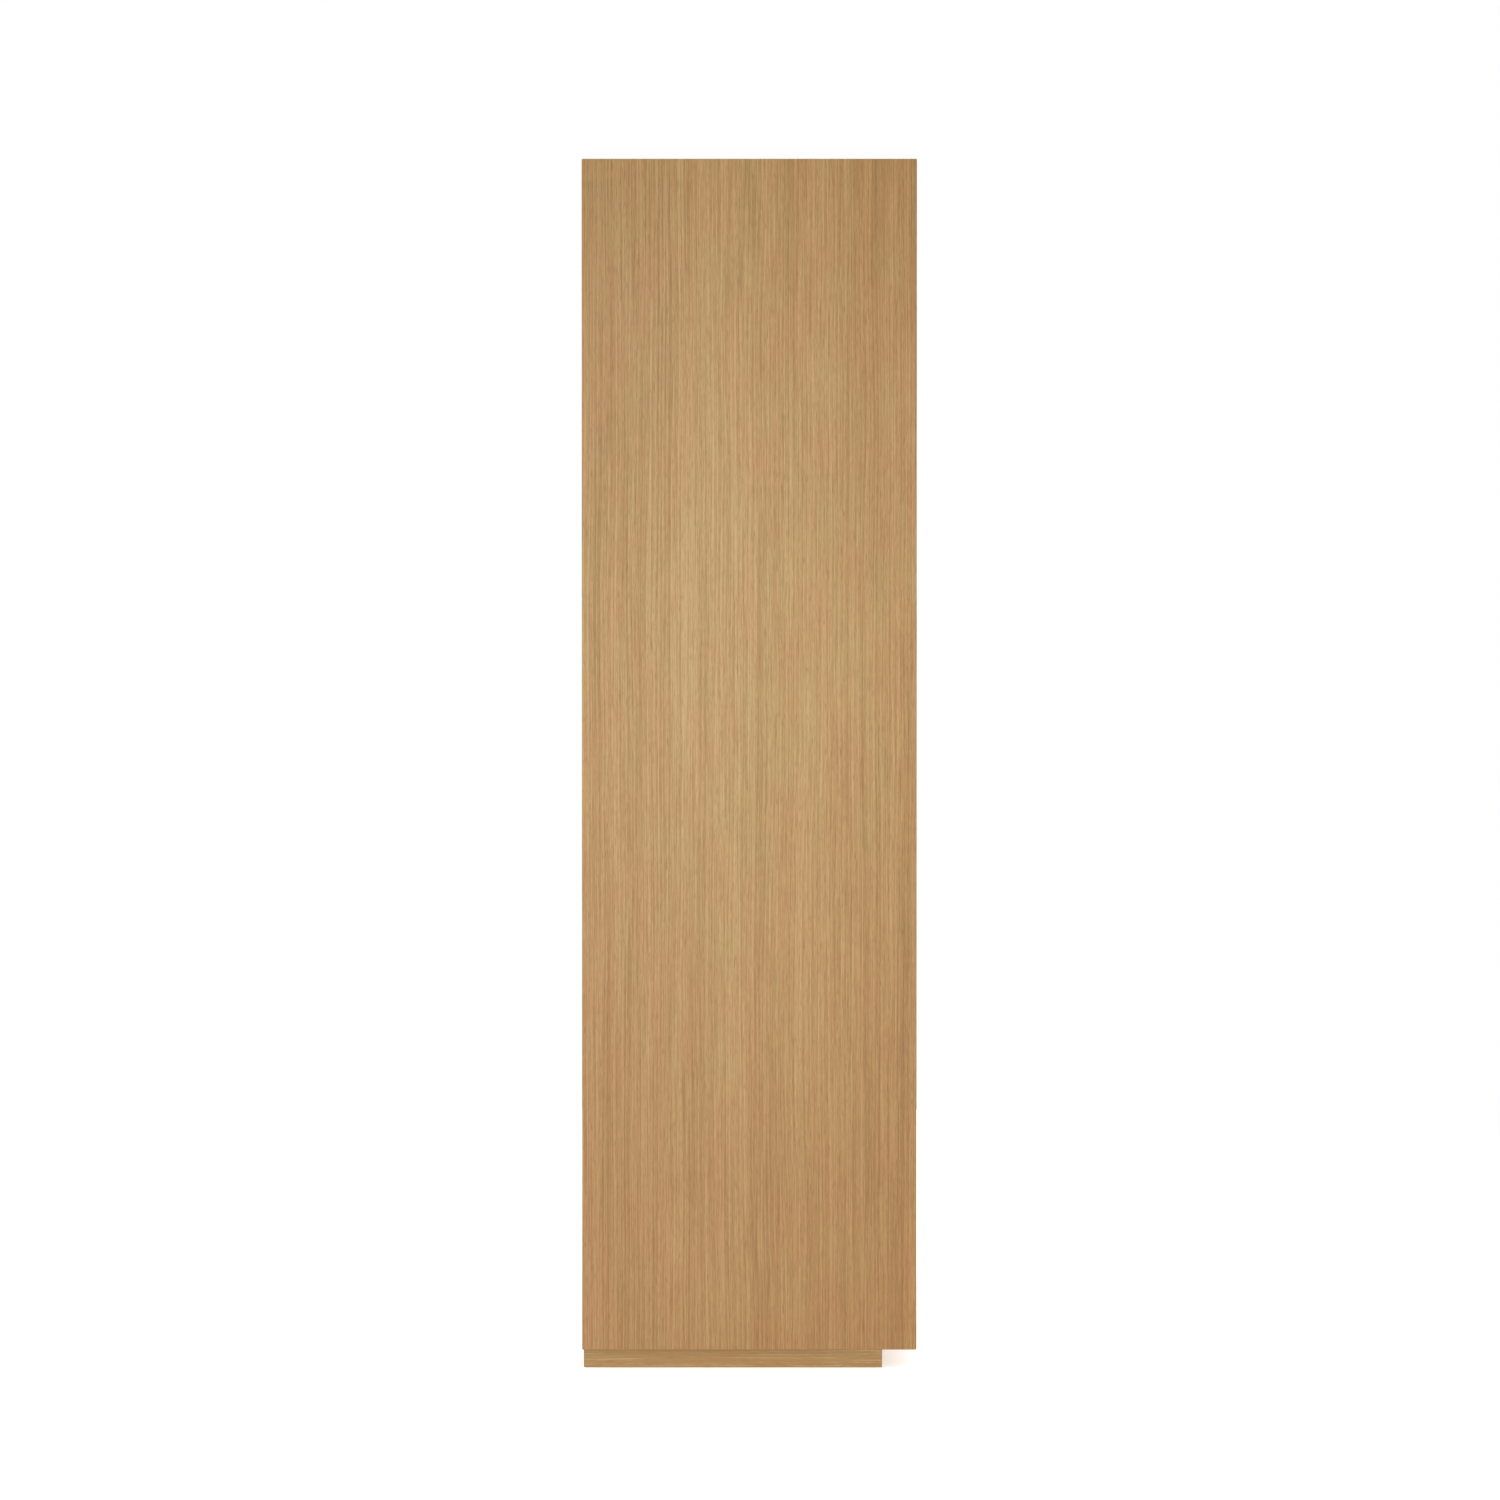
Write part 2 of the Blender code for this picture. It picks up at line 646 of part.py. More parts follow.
def make_loose_shelves():
    half_width = INNER_HALF - LOOSE_SHELF_SIDE_PLAY
    pin_axis_start = INNER_HALF + SHELF_PIN_EMBEDDED
    collar_start = SHELF_PIN_EMBEDDED + JOINT_GAP
    collar_end = collar_start + SHELF_PIN_COLLAR_THICKNESS
    nose_end = collar_end + SHELF_PIN_NOSE_LENGTH
    profile = [
        (0.0, 0.0),
        (SHELF_PIN_RADIUS, 0.0),
        (SHELF_PIN_RADIUS, -collar_start),
        (SHELF_PIN_COLLAR_RADIUS, -collar_start),
        (SHELF_PIN_COLLAR_RADIUS, -collar_end),
        (SHELF_PIN_NOSE_RADIUS, -collar_end),
        (SHELF_PIN_NOSE_RADIUS, SHELF_PIN_NOSE_CHAMFER - nose_end),
        (SHELF_PIN_NOSE_RADIUS - SHELF_PIN_NOSE_CHAMFER, -nose_end),
        (0.0, -nose_end),
    ]
    for number, level in enumerate(LOOSE_SHELF_LEVELS, start=1):
        box(
            f"loose_shelf_{number}",
            (-half_width, DOOR_BACK_Y + LOOSE_SHELF_SETBACK, level),
            (half_width, BACK_FRONT_Y - LOOSE_SHELF_BACK_PLAY, level + SHELF_BOARD),
            OAK_INSIDE,
        )
        for side, direction in SIDES.items():
            for row, y in PIN_ROWS.items():
                pin = turned(f"shelf_pin_{number}_{side}_{row}", profile, NICKEL, PIN_STEPS)
                pin.rotation_euler = (0.0, direction * math.pi / 2, 0.0)
                place(pin, (direction * pin_axis_start, y, pin_level(level)))


def make_wall_brackets():
    """Two steel angles inside, at the top rear, which fix the cabinet to a wall through its rail."""
    top = INNER_CEILING - JOINT_GAP
    rear = BACK_FRONT_Y - JOINT_GAP
    for side, direction in SIDES.items():
        centre = direction * (INNER_HALF - BRACKET_FROM_SIDE)
        low_x, high_x = centre - BRACKET_WIDTH / 2, centre + BRACKET_WIDTH / 2
        bracket = box(
            f"wall_bracket_{side}",
            (low_x, rear - BRACKET_LEG, top - BRACKET_STEEL),
            (high_x, rear, top),
            ZINC,
        )
        upright = box(
            f"bracket_upright_{side}",
            (low_x, rear - BRACKET_STEEL, top - BRACKET_LEG),
            (high_x, rear, top - BRACKET_STEEL / 2),
            collection=CUTTERS,
        )
        boolean(bracket, upright, "UNION")
        length = BRACKET_STEEL + 2 * CUT_OVERRUN
        ceiling_hole = rod(
            f"bracket_ceiling_hole_{side}",
            BRACKET_HOLE_RADIUS,
            length,
            HOLE_SIDES,
            (centre, rear - BRACKET_HOLE_FROM_CORNER, top - BRACKET_STEEL / 2),
        )
        wall_hole = rod(
            f"bracket_wall_hole_{side}",
            BRACKET_HOLE_RADIUS,
            length,
            HOLE_SIDES,
            (centre, rear - BRACKET_STEEL / 2, top - BRACKET_HOLE_FROM_CORNER),
            axis="Y",
        )
        cut(bracket, ceiling_hole, wall_hole)


make_case()
make_back()
make_plinth()
make_feet()
hinge_axes = make_doors()
make_hinges(hinge_axes)
make_catches(hinge_axes)
make_loose_shelves()
make_wall_brackets()
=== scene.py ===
"""Pantry cabinet, finished: oak-veneered boards with eased arrises, fitted steel and studio.

Metres, +Z up, the doors face -Y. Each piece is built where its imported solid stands, and rides on that body.
"""

import math

import bmesh
import bpy
from mathutils import Euler, Matrix, Vector


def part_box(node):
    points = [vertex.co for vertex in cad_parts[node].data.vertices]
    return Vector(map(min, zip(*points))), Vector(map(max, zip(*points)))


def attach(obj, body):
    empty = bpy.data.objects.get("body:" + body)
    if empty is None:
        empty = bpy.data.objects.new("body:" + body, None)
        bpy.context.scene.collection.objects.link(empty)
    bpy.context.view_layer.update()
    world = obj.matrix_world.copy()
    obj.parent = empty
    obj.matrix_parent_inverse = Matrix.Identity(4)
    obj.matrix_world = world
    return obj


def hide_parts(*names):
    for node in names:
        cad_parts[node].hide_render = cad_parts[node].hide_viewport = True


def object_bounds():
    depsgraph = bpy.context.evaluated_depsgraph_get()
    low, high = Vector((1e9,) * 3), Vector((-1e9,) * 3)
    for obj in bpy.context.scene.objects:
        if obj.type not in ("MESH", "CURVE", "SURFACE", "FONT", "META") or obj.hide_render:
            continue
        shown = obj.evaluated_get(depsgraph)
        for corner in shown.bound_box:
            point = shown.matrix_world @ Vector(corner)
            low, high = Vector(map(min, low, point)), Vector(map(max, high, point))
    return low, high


bl_info = {
    "name": "Pantry cabinet",
    "version": (1, 0, 0),
    "blender": (4, 5, 0),
    "location": "3D View > Sidebar > Cabinet",
    "description": "Builds the finished pantry cabinet round its packed solids",
    "category": "Object",
}

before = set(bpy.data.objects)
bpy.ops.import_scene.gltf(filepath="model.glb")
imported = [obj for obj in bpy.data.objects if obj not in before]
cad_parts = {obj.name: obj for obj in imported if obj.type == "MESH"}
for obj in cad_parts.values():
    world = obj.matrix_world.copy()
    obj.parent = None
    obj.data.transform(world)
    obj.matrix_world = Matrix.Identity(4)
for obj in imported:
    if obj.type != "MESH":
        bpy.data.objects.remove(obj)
CAD_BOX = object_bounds()

SIDES = {"left": -1, "right": 1}
ENDS = {"lower": -1, "upper": 1}
CORNERS = ("front_left", "front_right", "rear_left", "rear_right")


def span(node):
    """A node's low and high corners."""
    low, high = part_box(node)
    return Vector(low), Vector(high)


def middle(node):
    low, high = span(node)
    return (low + high) / 2


# ---------------------------------------------------------------- sizes that the pieces share

LOW, HIGH = CAD_BOX
CASE_LOW, CASE_HIGH = span("side_panel_left")
CASE_BOARD = CASE_HIGH.x - CASE_LOW.x
INNER_HALF = -CASE_HIGH.x
INNER_FLOOR = CASE_LOW.z + CASE_BOARD
INNER_CEILING = CASE_HIGH.z - CASE_BOARD
BACK_LOW, BACK_HIGH = span("back_panel_lower")
LEAF_LOW, LEAF_HIGH = span("hinge_door_leaf_left_lower")
LEAF_THICKNESS = LEAF_HIGH.z - LEAF_LOW.z
LEAF_WIDTH = LEAF_HIGH.y - LEAF_LOW.y
LEAF_LENGTH = LEAF_HIGH.x - LEAF_LOW.x
PIVOT = Vector((LEAF_LOW.x + LEAF_WIDTH / 2, (LEAF_LOW.y + LEAF_HIGH.y) / 2, 0.0))
JOINT_GAP = 0.0003
OVERRUN = 0.002
# The hinge pin's hole in the door and in its leaf.
PIN_HOLE = 0.0034
PIN_HOLE_DEPTH = 0.0085
# The mitres close towards the inside of the case, so that no light gets through them.
MITRE_CLOSED = 0.00035


def linear(hex_colour):
    """An sRGB hex colour as linear red, green and blue."""
    code = int(hex_colour.lstrip("#"), 16)
    parts = [(code >> shift & 255) / 255 for shift in (16, 8, 0)]
    return tuple(part / 12.92 if part <= 0.04045 else ((part + 0.055) / 1.055) ** 2.4 for part in parts)


# ---------------------------------------------------------------- what a user would change


def length(name, description, default, low=0.0, high=1.0):
    return bpy.props.FloatProperty(
        name=name, description=description, default=default, min=low, max=high, precision=5, unit="LENGTH"
    )


def colour(name, description, default):
    return bpy.props.FloatVectorProperty(
        name=name, description=description, default=linear(default), min=0.0, max=1.0, size=3, subtype="COLOR"
    )


class PantrySizes(bpy.types.PropertyGroup):
    """Sizes of the edges, holes and fixings"""

    arris: length("Arris", "Rounding of the case boards' edges", 0.0012, 0.0002, 0.002)
    shelf_arris: length("Shelf arris", "Rounding of the shelves' edges", 0.0010, 0.0002, 0.003)
    door_edge: length("Door edge", "Rounding of the doors' front edges", 0.00196, 0.0019, 0.003)
    pull_height: length("Pull height", "Height of the finger hole's middle", 1.050, 0.5, 1.5)
    pull_radius: length("Pull radius", "Radius of the finger hole's round ends", 0.018, 0.010, 0.030)
    pull_straight: length("Pull straight", "Length of the finger hole's straight part", 0.130, 0.0, 0.3)
    pull_rim: length("Pull rim", "Rounding of the finger hole's rim", 0.0028, 0.0005, 0.004)
    bore_radius: length("Shelf bore radius", "Radius of the holes for shelf pins", 0.0028, 0.002, 0.004)
    bore_depth: length("Shelf bore depth", "Depth of the holes for shelf pins", 0.012, 0.004, 0.018)
    bore_pitch: length("Shelf bore pitch", "Height between neighbouring holes", 0.032, 0.02, 0.06)
    foot_bore: length("Foot bore radius", "Radius of the holes over the levelling feet", 0.007, 0.005, 0.01)
    thread_pitch: length("Thread pitch", "Pitch of the levelling feet's thread", 0.00125, 0.0008, 0.002)
    leaf_screw: length("Leaf screw", "Head diameter of the hinges' screws", 0.0066, 0.004, 0.008)
    small_screw: length("Small screw", "Head diameter of the catch and strike screws", 0.0054, 0.003, 0.008)
    panel_screw: length("Panel screw", "Head diameter of the back panels' screws", 0.0060, 0.004, 0.01)
    panel_spacing: length("Panel screw spacing", "Distance between the back panels' screws", 0.150, 0.05, 0.4)
    bores_each_way: bpy.props.IntProperty(
        name="Bores each way", description="Spare holes above and below each pin", default=2, min=0, max=5
    )
    bore_sides: bpy.props.IntProperty(
        name="Bore sides", description="Flats round each shelf-pin hole", default=20, min=8, max=48
    )


class PantryColours(bpy.types.PropertyGroup):
    """Colours of the woods and metals"""

    oak_pore: colour("Oak pores", "Darkest lines of the oak", "#8B6A41")
    oak_late: colour("Oak late wood", "Dark growth lines", "#A28250")
    oak_body: colour("Oak body", "The oak's own tone", "#B49160")
    oak_early: colour("Oak early wood", "Light growth lines", "#C1A271")
    oak_pale: colour("Oak pale lines", "Lightest lines of the oak", "#CEB388")
    oak_rose: colour("Oak rose patches", "Patches where the heartwood is redder", "#B78B5B")
    oak_olive: colour("Oak olive patches", "Patches where the wood is greener", "#B19962")
    # Also used as painted shade along the arrises.
    oak_aged_and_edge_shade: colour("Oak aged", "What bare or thinly lacquered oak darkens to", "#6A4A2B")
    oak_inside: colour("Oak inside", "The shelves' paler veneer", "#C09D6C")
    birch_face: colour("Birch face", "Face veneer of the plywood", "#BC9C70")
    birch_edge: colour("Birch end grain", "Darker plies at a plywood edge", "#94734A")
    nickel: colour("Nickel", "Satin nickel plating", "#C9C4BA")
    zinc: colour("Zinc", "Bright zinc plating", "#BFC4C9")
    housing: colour("Catch housing", "Moulded catch housings and hole caps", "#9A7B55")
    nylon: colour("Nylon", "Pads of the levelling feet", "#26262A")
    floor: colour("Floor", "The studio's floor", "#E5E5E4")


def sizes():
    return bpy.context.scene.pantry_sizes


def colours():
    return bpy.context.scene.pantry_colours


# ---------------------------------------------------------------- nodes and finishes


def rgba(value):
    return (*value, 1.0)


def add(tree, kind, inputs=None, stops=(), **settings):
    """Adds a node with its settings. An input is a value, or the socket that feeds it. A colour ramp's
    stops are (position, colour) pairs."""
    node = tree.nodes.new(kind)
    for name, value in settings.items():
        setattr(node, name, value)
    for _ in stops[2:]:
        node.color_ramp.elements.new(0.5)
    for number, (position, value) in enumerate(stops):
        node.color_ramp.elements[number].position = position
        node.color_ramp.elements[number].color = rgba(value)
    for key, value in (inputs or {}).items():
        if isinstance(value, bpy.types.NodeSocket):
            tree.links.new(value, node.inputs[key])
        else:
            node.inputs[key].default_value = value
    return node


def new_finish(name):
    """A material with only its shader and output, ready for a pattern."""
    material = bpy.data.materials.new(name)
    material.use_nodes = True
    tree = material.node_tree
    tree.nodes.clear()
    shader = add(tree, "ShaderNodeBsdfPrincipled")
    add(tree, "ShaderNodeOutputMaterial", {"Surface": shader.outputs[0]})
    return material, tree, shader


def streaks(tree, place, across, along, detail=2.0):
    """Noise drawn out along the grain. Across and along are the real size of one streak, in metres."""
    scale = (1 / across, 1 / across, 1 / along)
    stretched = add(tree, "ShaderNodeMapping", {"Vector": place, "Scale": scale}).outputs[0]
    return add(tree, "ShaderNodeTexNoise", {"Vector": stretched, "Scale": 1.0, "Detail": detail}).outputs[0]


def weighed(tree, layers):
    """The sum of (layer, weight) pairs, which swings about one half as each layer does."""
    total = 0.5 - sum(weight for _, weight in layers) / 2
    for value, weight in layers:
        inputs = {0: value, 1: weight, 2: total}
        total = add(tree, "ShaderNodeMath", inputs, operation="MULTIPLY_ADD").outputs[0]
    return total


def marked(tree, shade, pattern, low, high, over, most=1.0):
    """A shade with another laid over it: none of it where the pattern is at low, and the most at high."""
    inputs = {"Value": pattern, "From Min": low, "From Max": high, "To Min": 0.0, "To Max": most}
    amount = add(tree, "ShaderNodeMapRange", inputs).outputs[0]
    return add(tree, "ShaderNodeMix", {0: amount, 6: shade, 7: over}, data_type="RGBA").outputs[2]


def drifted(tree, shade, place, axis, stops):
    """A shade that changes slowly along one axis of the whole cabinet."""
    run = add(tree, "ShaderNodeSeparateXYZ", {"Vector": place}).outputs[axis]
    inputs = {"Value": run, "From Min": LOW[axis], "From Max": HIGH[axis]}
    part = add(tree, "ShaderNodeMapRange", inputs).outputs[0]
    drift = add(tree, "ShaderNodeValToRGB", {"Fac": part}, stops).outputs["Color"]
    inputs = {0: 1.0, 6: shade, 7: drift}
    return add(tree, "ShaderNodeMix", inputs, data_type="RGBA", blend_type="MULTIPLY").outputs[2]


def surfaced(tree, shader, shade, level, rough, relief, strength, distance):
    """Wires up a finish. Rough says how the level sets the roughness: low, high, and what it is at each.
    The relief's strength and depth make its bump."""
    low, high, at_low, at_high = rough
    inputs = {"Value": level, "From Min": low, "From Max": high, "To Min": at_low, "To Max": at_high}
    roughness = add(tree, "ShaderNodeMapRange", inputs).outputs[0]
    bump = add(tree, "ShaderNodeBump", {"Height": relief, "Strength": strength, "Distance": distance})
    tree.links.new(shade, shader.inputs["Base Color"])
    tree.links.new(roughness, shader.inputs["Roughness"])
    tree.links.new(bump.outputs[0], shader.inputs["Normal"])


GRAIN_TURN = {"Z": (0.0, 0.0, 0.0), "X": (0.0, math.pi / 2, 0.0), "Y": (math.pi / 2, 0.0, 0.0)}


def growth_rings(tree, leaf):
    """Rings cut at 45 degrees: each darkens towards its end, then starts afresh."""
    apart = 0.0073
    wander = 2.4
    parts = add(tree, "ShaderNodeSeparateXYZ", {"Vector": leaf}).outputs
    across = add(tree, "ShaderNodeMath", {0: parts["X"], 1: parts["Y"]}, operation="ADD").outputs[0]
    drift = streaks(tree, leaf, 0.030, 1.2, 1.0)
    drift = add(tree, "ShaderNodeMath", {0: drift, 1: wander}, operation="MULTIPLY").outputs[0]
    inputs = {0: across, 1: 1 / apart, 2: drift}
    count = add(tree, "ShaderNodeMath", inputs, operation="MULTIPLY_ADD").outputs[0]
    return add(tree, "ShaderNodeMath", {0: count}, operation="FRACT").outputs[0]


def oak(name, grain, body=None, age_and_shade=0.0, side_painted_light=False, calm=1.0):
    """Rift-sawn oak veneer under a clear satin lacquer: fine straight lines along the grain, soft patches
    of rose and olive, and pores that the lacquer leaves open, so it is slightly ribbed in a raking light.
    Calm scales how strongly the layers show."""
    tone = colours()
    material, tree, shader = new_finish(name)
    place = add(tree, "ShaderNodeTexCoord").outputs["Object"]
    leaf = add(tree, "ShaderNodeMapping", {"Vector": place, "Rotation": GRAIN_TURN[grain]}).outputs[0]
    # The lines wander sideways by a few millimetres over half a metre.
    slow = add(tree, "ShaderNodeMapping", {"Vector": leaf, "Scale": (9.0, 9.0, 1.8)}).outputs[0]
    sway = add(tree, "ShaderNodeTexNoise", {"Vector": slow, "Scale": 1.0, "Detail": 1.0}).outputs["Color"]
    inputs = {0: sway, 1: (0.010, 0.010, 0.0), 2: leaf}
    leaf = add(tree, "ShaderNodeVectorMath", inputs, operation="MULTIPLY_ADD").outputs[0]
    bands = streaks(tree, leaf, 0.060, 1.8)
    stripes = streaks(tree, leaf, 0.014, 0.80, 1.0)
    lines = streaks(tree, leaf, 0.0030, 0.55, 2.0)
    threads = streaks(tree, leaf, 0.0012, 0.085, 1.0)
    flecks = streaks(tree, leaf, 0.0014, 0.016, 0.0)
    patches = streaks(tree, leaf, 0.032, 0.13, 2.0)
    # Rows of open vessels run on as fine dark lines, and the hard wood between them as pale ones.
    vessels = streaks(tree, leaf, 0.0017, 0.80, 0.0)
    # Open pores are 0.3 mm wide and up to 10 mm long. Their clusters are drawn five times as wide, to show.
    pores = streaks(tree, leaf, 0.0004, 0.010, 0.0)
    clusters = streaks(tree, leaf, 0.0015, 0.020, 0.0)
    rings = growth_rings(tree, leaf)
    layers = [(bands, 0.26), (stripes, 0.26), (lines, 0.30), (threads, 0.51), (flecks, 0.26), (rings, 0.17)]
    grained = weighed(tree, [(layer, weight * calm) for layer, weight in layers])
    tones = (tone.oak_pore, tone.oak_late, body or tone.oak_body, tone.oak_early, tone.oak_pale)
    stops = list(zip((0.22, 0.38, 0.50, 0.62, 0.80), tones))
    shade = add(tree, "ShaderNodeValToRGB", {"Fac": grained}, stops).outputs["Color"]
    pore, pale, rose, olive = map(rgba, (tone.oak_pore, tone.oak_pale, tone.oak_rose, tone.oak_olive))
    shade = marked(tree, shade, vessels, 0.36, 0.26, pore, 0.55)
    shade = marked(tree, shade, vessels, 0.64, 0.76, pale, 0.55)
    patch = marked(tree, rose, patches, 0.36, 0.64, olive)
    inputs = {0: 0.30 * calm, 6: shade, 7: patch}
    shade = add(tree, "ShaderNodeMix", inputs, data_type="RGBA").outputs[2]
    shade = marked(tree, shade, clusters, 0.32, 0.20, pore, 0.50)
    shade = marked(tree, shade, pores, 0.34, 0.24, pore, 0.45)
    # Painted shade: each upright or lengthways leaf is darkened towards its ends, where the light falls off.
    if grain != "Y":
        shade = drifted(tree, shade, place, "XYZ".index(grain), LEAF_TONE_AND_PAINTED_SHADE)
    # Painted light across the case's sides: palest a little behind the middle, darker towards the front and
    # rear.
    if side_painted_light:
        shade = drifted(tree, shade, place, 1, SIDE_PAINTED_LIGHT_FALLOFF)
    # Aging on the back panels; on the arrises the same darkening is painted shade.
    if age_and_shade:
        inputs = {0: age_and_shade, 6: shade, 7: rgba(tone.oak_aged_and_edge_shade)}
        shade = add(tree, "ShaderNodeMix", inputs, data_type="RGBA").outputs[2]
    relief = weighed(tree, [(threads, 0.35), (lines, 0.25), (pores, 0.8)])
    surfaced(tree, shader, shade, grained, (0.25, 0.75, 0.52, 0.40), relief, 0.35, 0.00025)
    shader.inputs["IOR"].default_value = 1.5
    return material


# Partly painted shade, partly the veneer's own tone: each leaf is painted darker and warmer towards both its
# ends, where the light falls off, and lightest just past its middle.
LEAF_TONE_AND_PAINTED_SHADE = [
    (0.00, (0.84, 0.73, 0.60)),
    (0.16, (0.85, 0.75, 0.65)),
    (0.36, (0.94, 0.90, 0.86)),
    (0.55, (1.00, 1.00, 1.00)),
    (0.65, (1.00, 1.00, 1.00)),
    (0.85, (0.94, 0.90, 0.88)),
    (1.00, (0.84, 0.77, 0.66)),
]
# Painted light: the case's sides are painted palest a little behind their middle, where the light is
# strongest, and darker towards their front and rear edges.
SIDE_PAINTED_LIGHT_FALLOFF = [
    (0.00, (0.89, 0.81, 0.71)),
    (0.16, (0.92, 0.86, 0.78)),
    (0.36, (0.96, 0.92, 0.87)),
    (0.60, (1.00, 1.00, 1.00)),
    (1.00, (0.92, 0.86, 0.82)),
]


def oak_upright(name):
    return oak(name, "Z")


def oak_side(name):
    # The sides carry painted light across their width.
    return oak(name, "Z", side_painted_light=True)


def oak_lengthways(name):
    return oak(name, "X")


def oak_depthways(name):
    """The plinth's side boards are cut from calmer, browner strips, and are painted darker as painted shade
    under the case's overhang.
    """
    return oak(name, "Y", body=linear("#A0773F"), calm=0.5)


def oak_shelf(name):
    """The inside's veneer is a paler leaf of the same oak."""
    return oak(name, "X", body=colours().oak_inside)


def oak_back(name):
    """The back panels' veneer has one thin coat only, and has gone duller."""
    return oak(name, "Z", age_and_shade=0.14)


def oak_arris(name):
    """A sanded arris cuts through the veneer, so its edge line is darker and takes less lacquer; it is
    painted darker still, as painted shade along each rounded edge.
    """
    return oak(name, "Z", body=linear("#744F2B"), age_and_shade=0.7)


def birch_ply(name):
    """Birch plywood: pale faces with a faint short figure, and edges that show 1.4 mm plies, every other
    one in darker end grain."""
    tone = colours()
    material, tree, shader = new_finish(name)
    place = add(tree, "ShaderNodeTexCoord").outputs["Object"]
    leaf = add(tree, "ShaderNodeMapping", {"Vector": place, "Rotation": GRAIN_TURN["X"]}).outputs[0]
    figure = weighed(tree, [(streaks(tree, leaf, 0.010, 0.30), 0.6), (streaks(tree, leaf, 0.002, 0.05), 0.6)])
    stops = [(0.28, linear("#AC8A5E")), (0.50, tone.birch_face), (0.72, linear("#CBAF84"))]
    face = add(tree, "ShaderNodeValToRGB", {"Fac": figure}, stops).outputs["Color"]
    depth = add(tree, "ShaderNodeSeparateXYZ", {"Vector": place}).outputs["Y"]
    ply = add(tree, "ShaderNodeMath", {0: depth, 1: 0.0014}, operation="PINGPONG").outputs[0]
    plies = marked(tree, face, ply, 0.0006, 0.0008, rgba(tone.birch_edge))
    normal = add(tree, "ShaderNodeNewGeometry").outputs["Normal"]
    facing = add(tree, "ShaderNodeSeparateXYZ", {"Vector": normal}).outputs["Y"]
    flat = add(tree, "ShaderNodeMath", {0: facing}, operation="ABSOLUTE").outputs[0]
    shade = marked(tree, plies, flat, 0.6, 0.8, face)
    surfaced(tree, shader, shade, figure, (0.2, 0.8, 0.62, 0.50), figure, 0.3, 0.0002)
    return material


def plated(name, shade, roughness, brush):
    """Plated steel: the plating follows the steel's own fine brushing or rolling marks."""
    material, tree, shader = new_finish(name)
    place = add(tree, "ShaderNodeTexCoord").outputs["Object"]
    marks = streaks(tree, place, brush[0], brush[1], 2.0)
    cloud = add(tree, "ShaderNodeTexNoise", {"Vector": place, "Scale": 90.0, "Detail": 3.0}).outputs[0]
    level = weighed(tree, [(marks, 0.6), (cloud, 0.5)])
    darker = tuple(part * 0.82 for part in shade)
    stops = [(0.25, darker), (0.70, tuple(shade))]
    base = add(tree, "ShaderNodeValToRGB", {"Fac": level}, stops).outputs["Color"]
    rough = (0.2, 0.8, roughness + 0.10, roughness - 0.06)
    surfaced(tree, shader, base, level, rough, marks, 0.15, 0.00005)
    shader.inputs["Metallic"].default_value = 1.0
    return material


def satin_nickel(name):
    """Nickel over brushed steel: a warm grey with a soft, slightly streaked shine."""
    return plated(name, colours().nickel, 0.30, (0.0003, 0.012))


def bright_zinc(name):
    """Zinc over pressed steel: a cooler, mottled shine."""
    return plated(name, colours().zinc, 0.36, (0.0008, 0.003))


def moulded(name, shade, gloss, grit):
    """Moulded plastic: the mould's spark-eroded texture breaks up its shine."""
    material, tree, shader = new_finish(name)
    place = add(tree, "ShaderNodeTexCoord").outputs["Object"]
    texture = add(tree, "ShaderNodeTexNoise", {"Vector": place, "Scale": 1 / grit, "Detail": 2.0}).outputs[0]
    flow = add(tree, "ShaderNodeTexNoise", {"Vector": place, "Scale": 60.0, "Detail": 2.0}).outputs[0]
    level = weighed(tree, [(texture, 0.4), (flow, 0.6)])
    dark, pale = (tuple(part * factor for part in shade) for factor in (0.86, 1.08))
    stops = [(0.2, dark), (0.8, pale)]
    base = add(tree, "ShaderNodeValToRGB", {"Fac": level}, stops).outputs["Color"]
    rough = (0.3, 0.7, gloss + 0.06, gloss - 0.06)
    surfaced(tree, shader, base, texture, rough, texture, 0.25, 0.0001)
    shader.inputs["IOR"].default_value = 1.53
    return material


def moulded_abs(name):
    """Tan ABS, moulded: even and lightly grained."""
    return moulded(name, colours().housing, 0.46, 0.0007)


def black_nylon(name):
    """Black nylon, moulded: nearly matt."""
    return moulded(name, colours().nylon, 0.55, 0.0009)


def painted_floor(name):
    """Matt white paint on a smooth floor: no shine, hardly any roller texture."""
    material, tree, shader = new_finish(name)
    place = add(tree, "ShaderNodeTexCoord").outputs["Object"]
    roller = add(tree, "ShaderNodeTexNoise", {"Vector": place, "Scale": 300.0, "Detail": 2.0}).outputs[0]
    white = colours().floor
    stops = [(0.3, tuple(part * 0.99 for part in white)), (0.7, tuple(white))]
    base = add(tree, "ShaderNodeValToRGB", {"Fac": roller}, stops).outputs["Color"]
    tree.links.new(base, shader.inputs["Base Color"])
    shader.inputs["Roughness"].default_value = 0.9
    shader.inputs["Specular IOR Level"].default_value = 0.1
    # A lightbox floor glows a little from below, so contact shadows stay pale.
    shader.inputs["Emission Color"].default_value = (1.0, 1.0, 1.0, 1.0)
    shader.inputs["Emission Strength"].default_value = 0.55
    return material


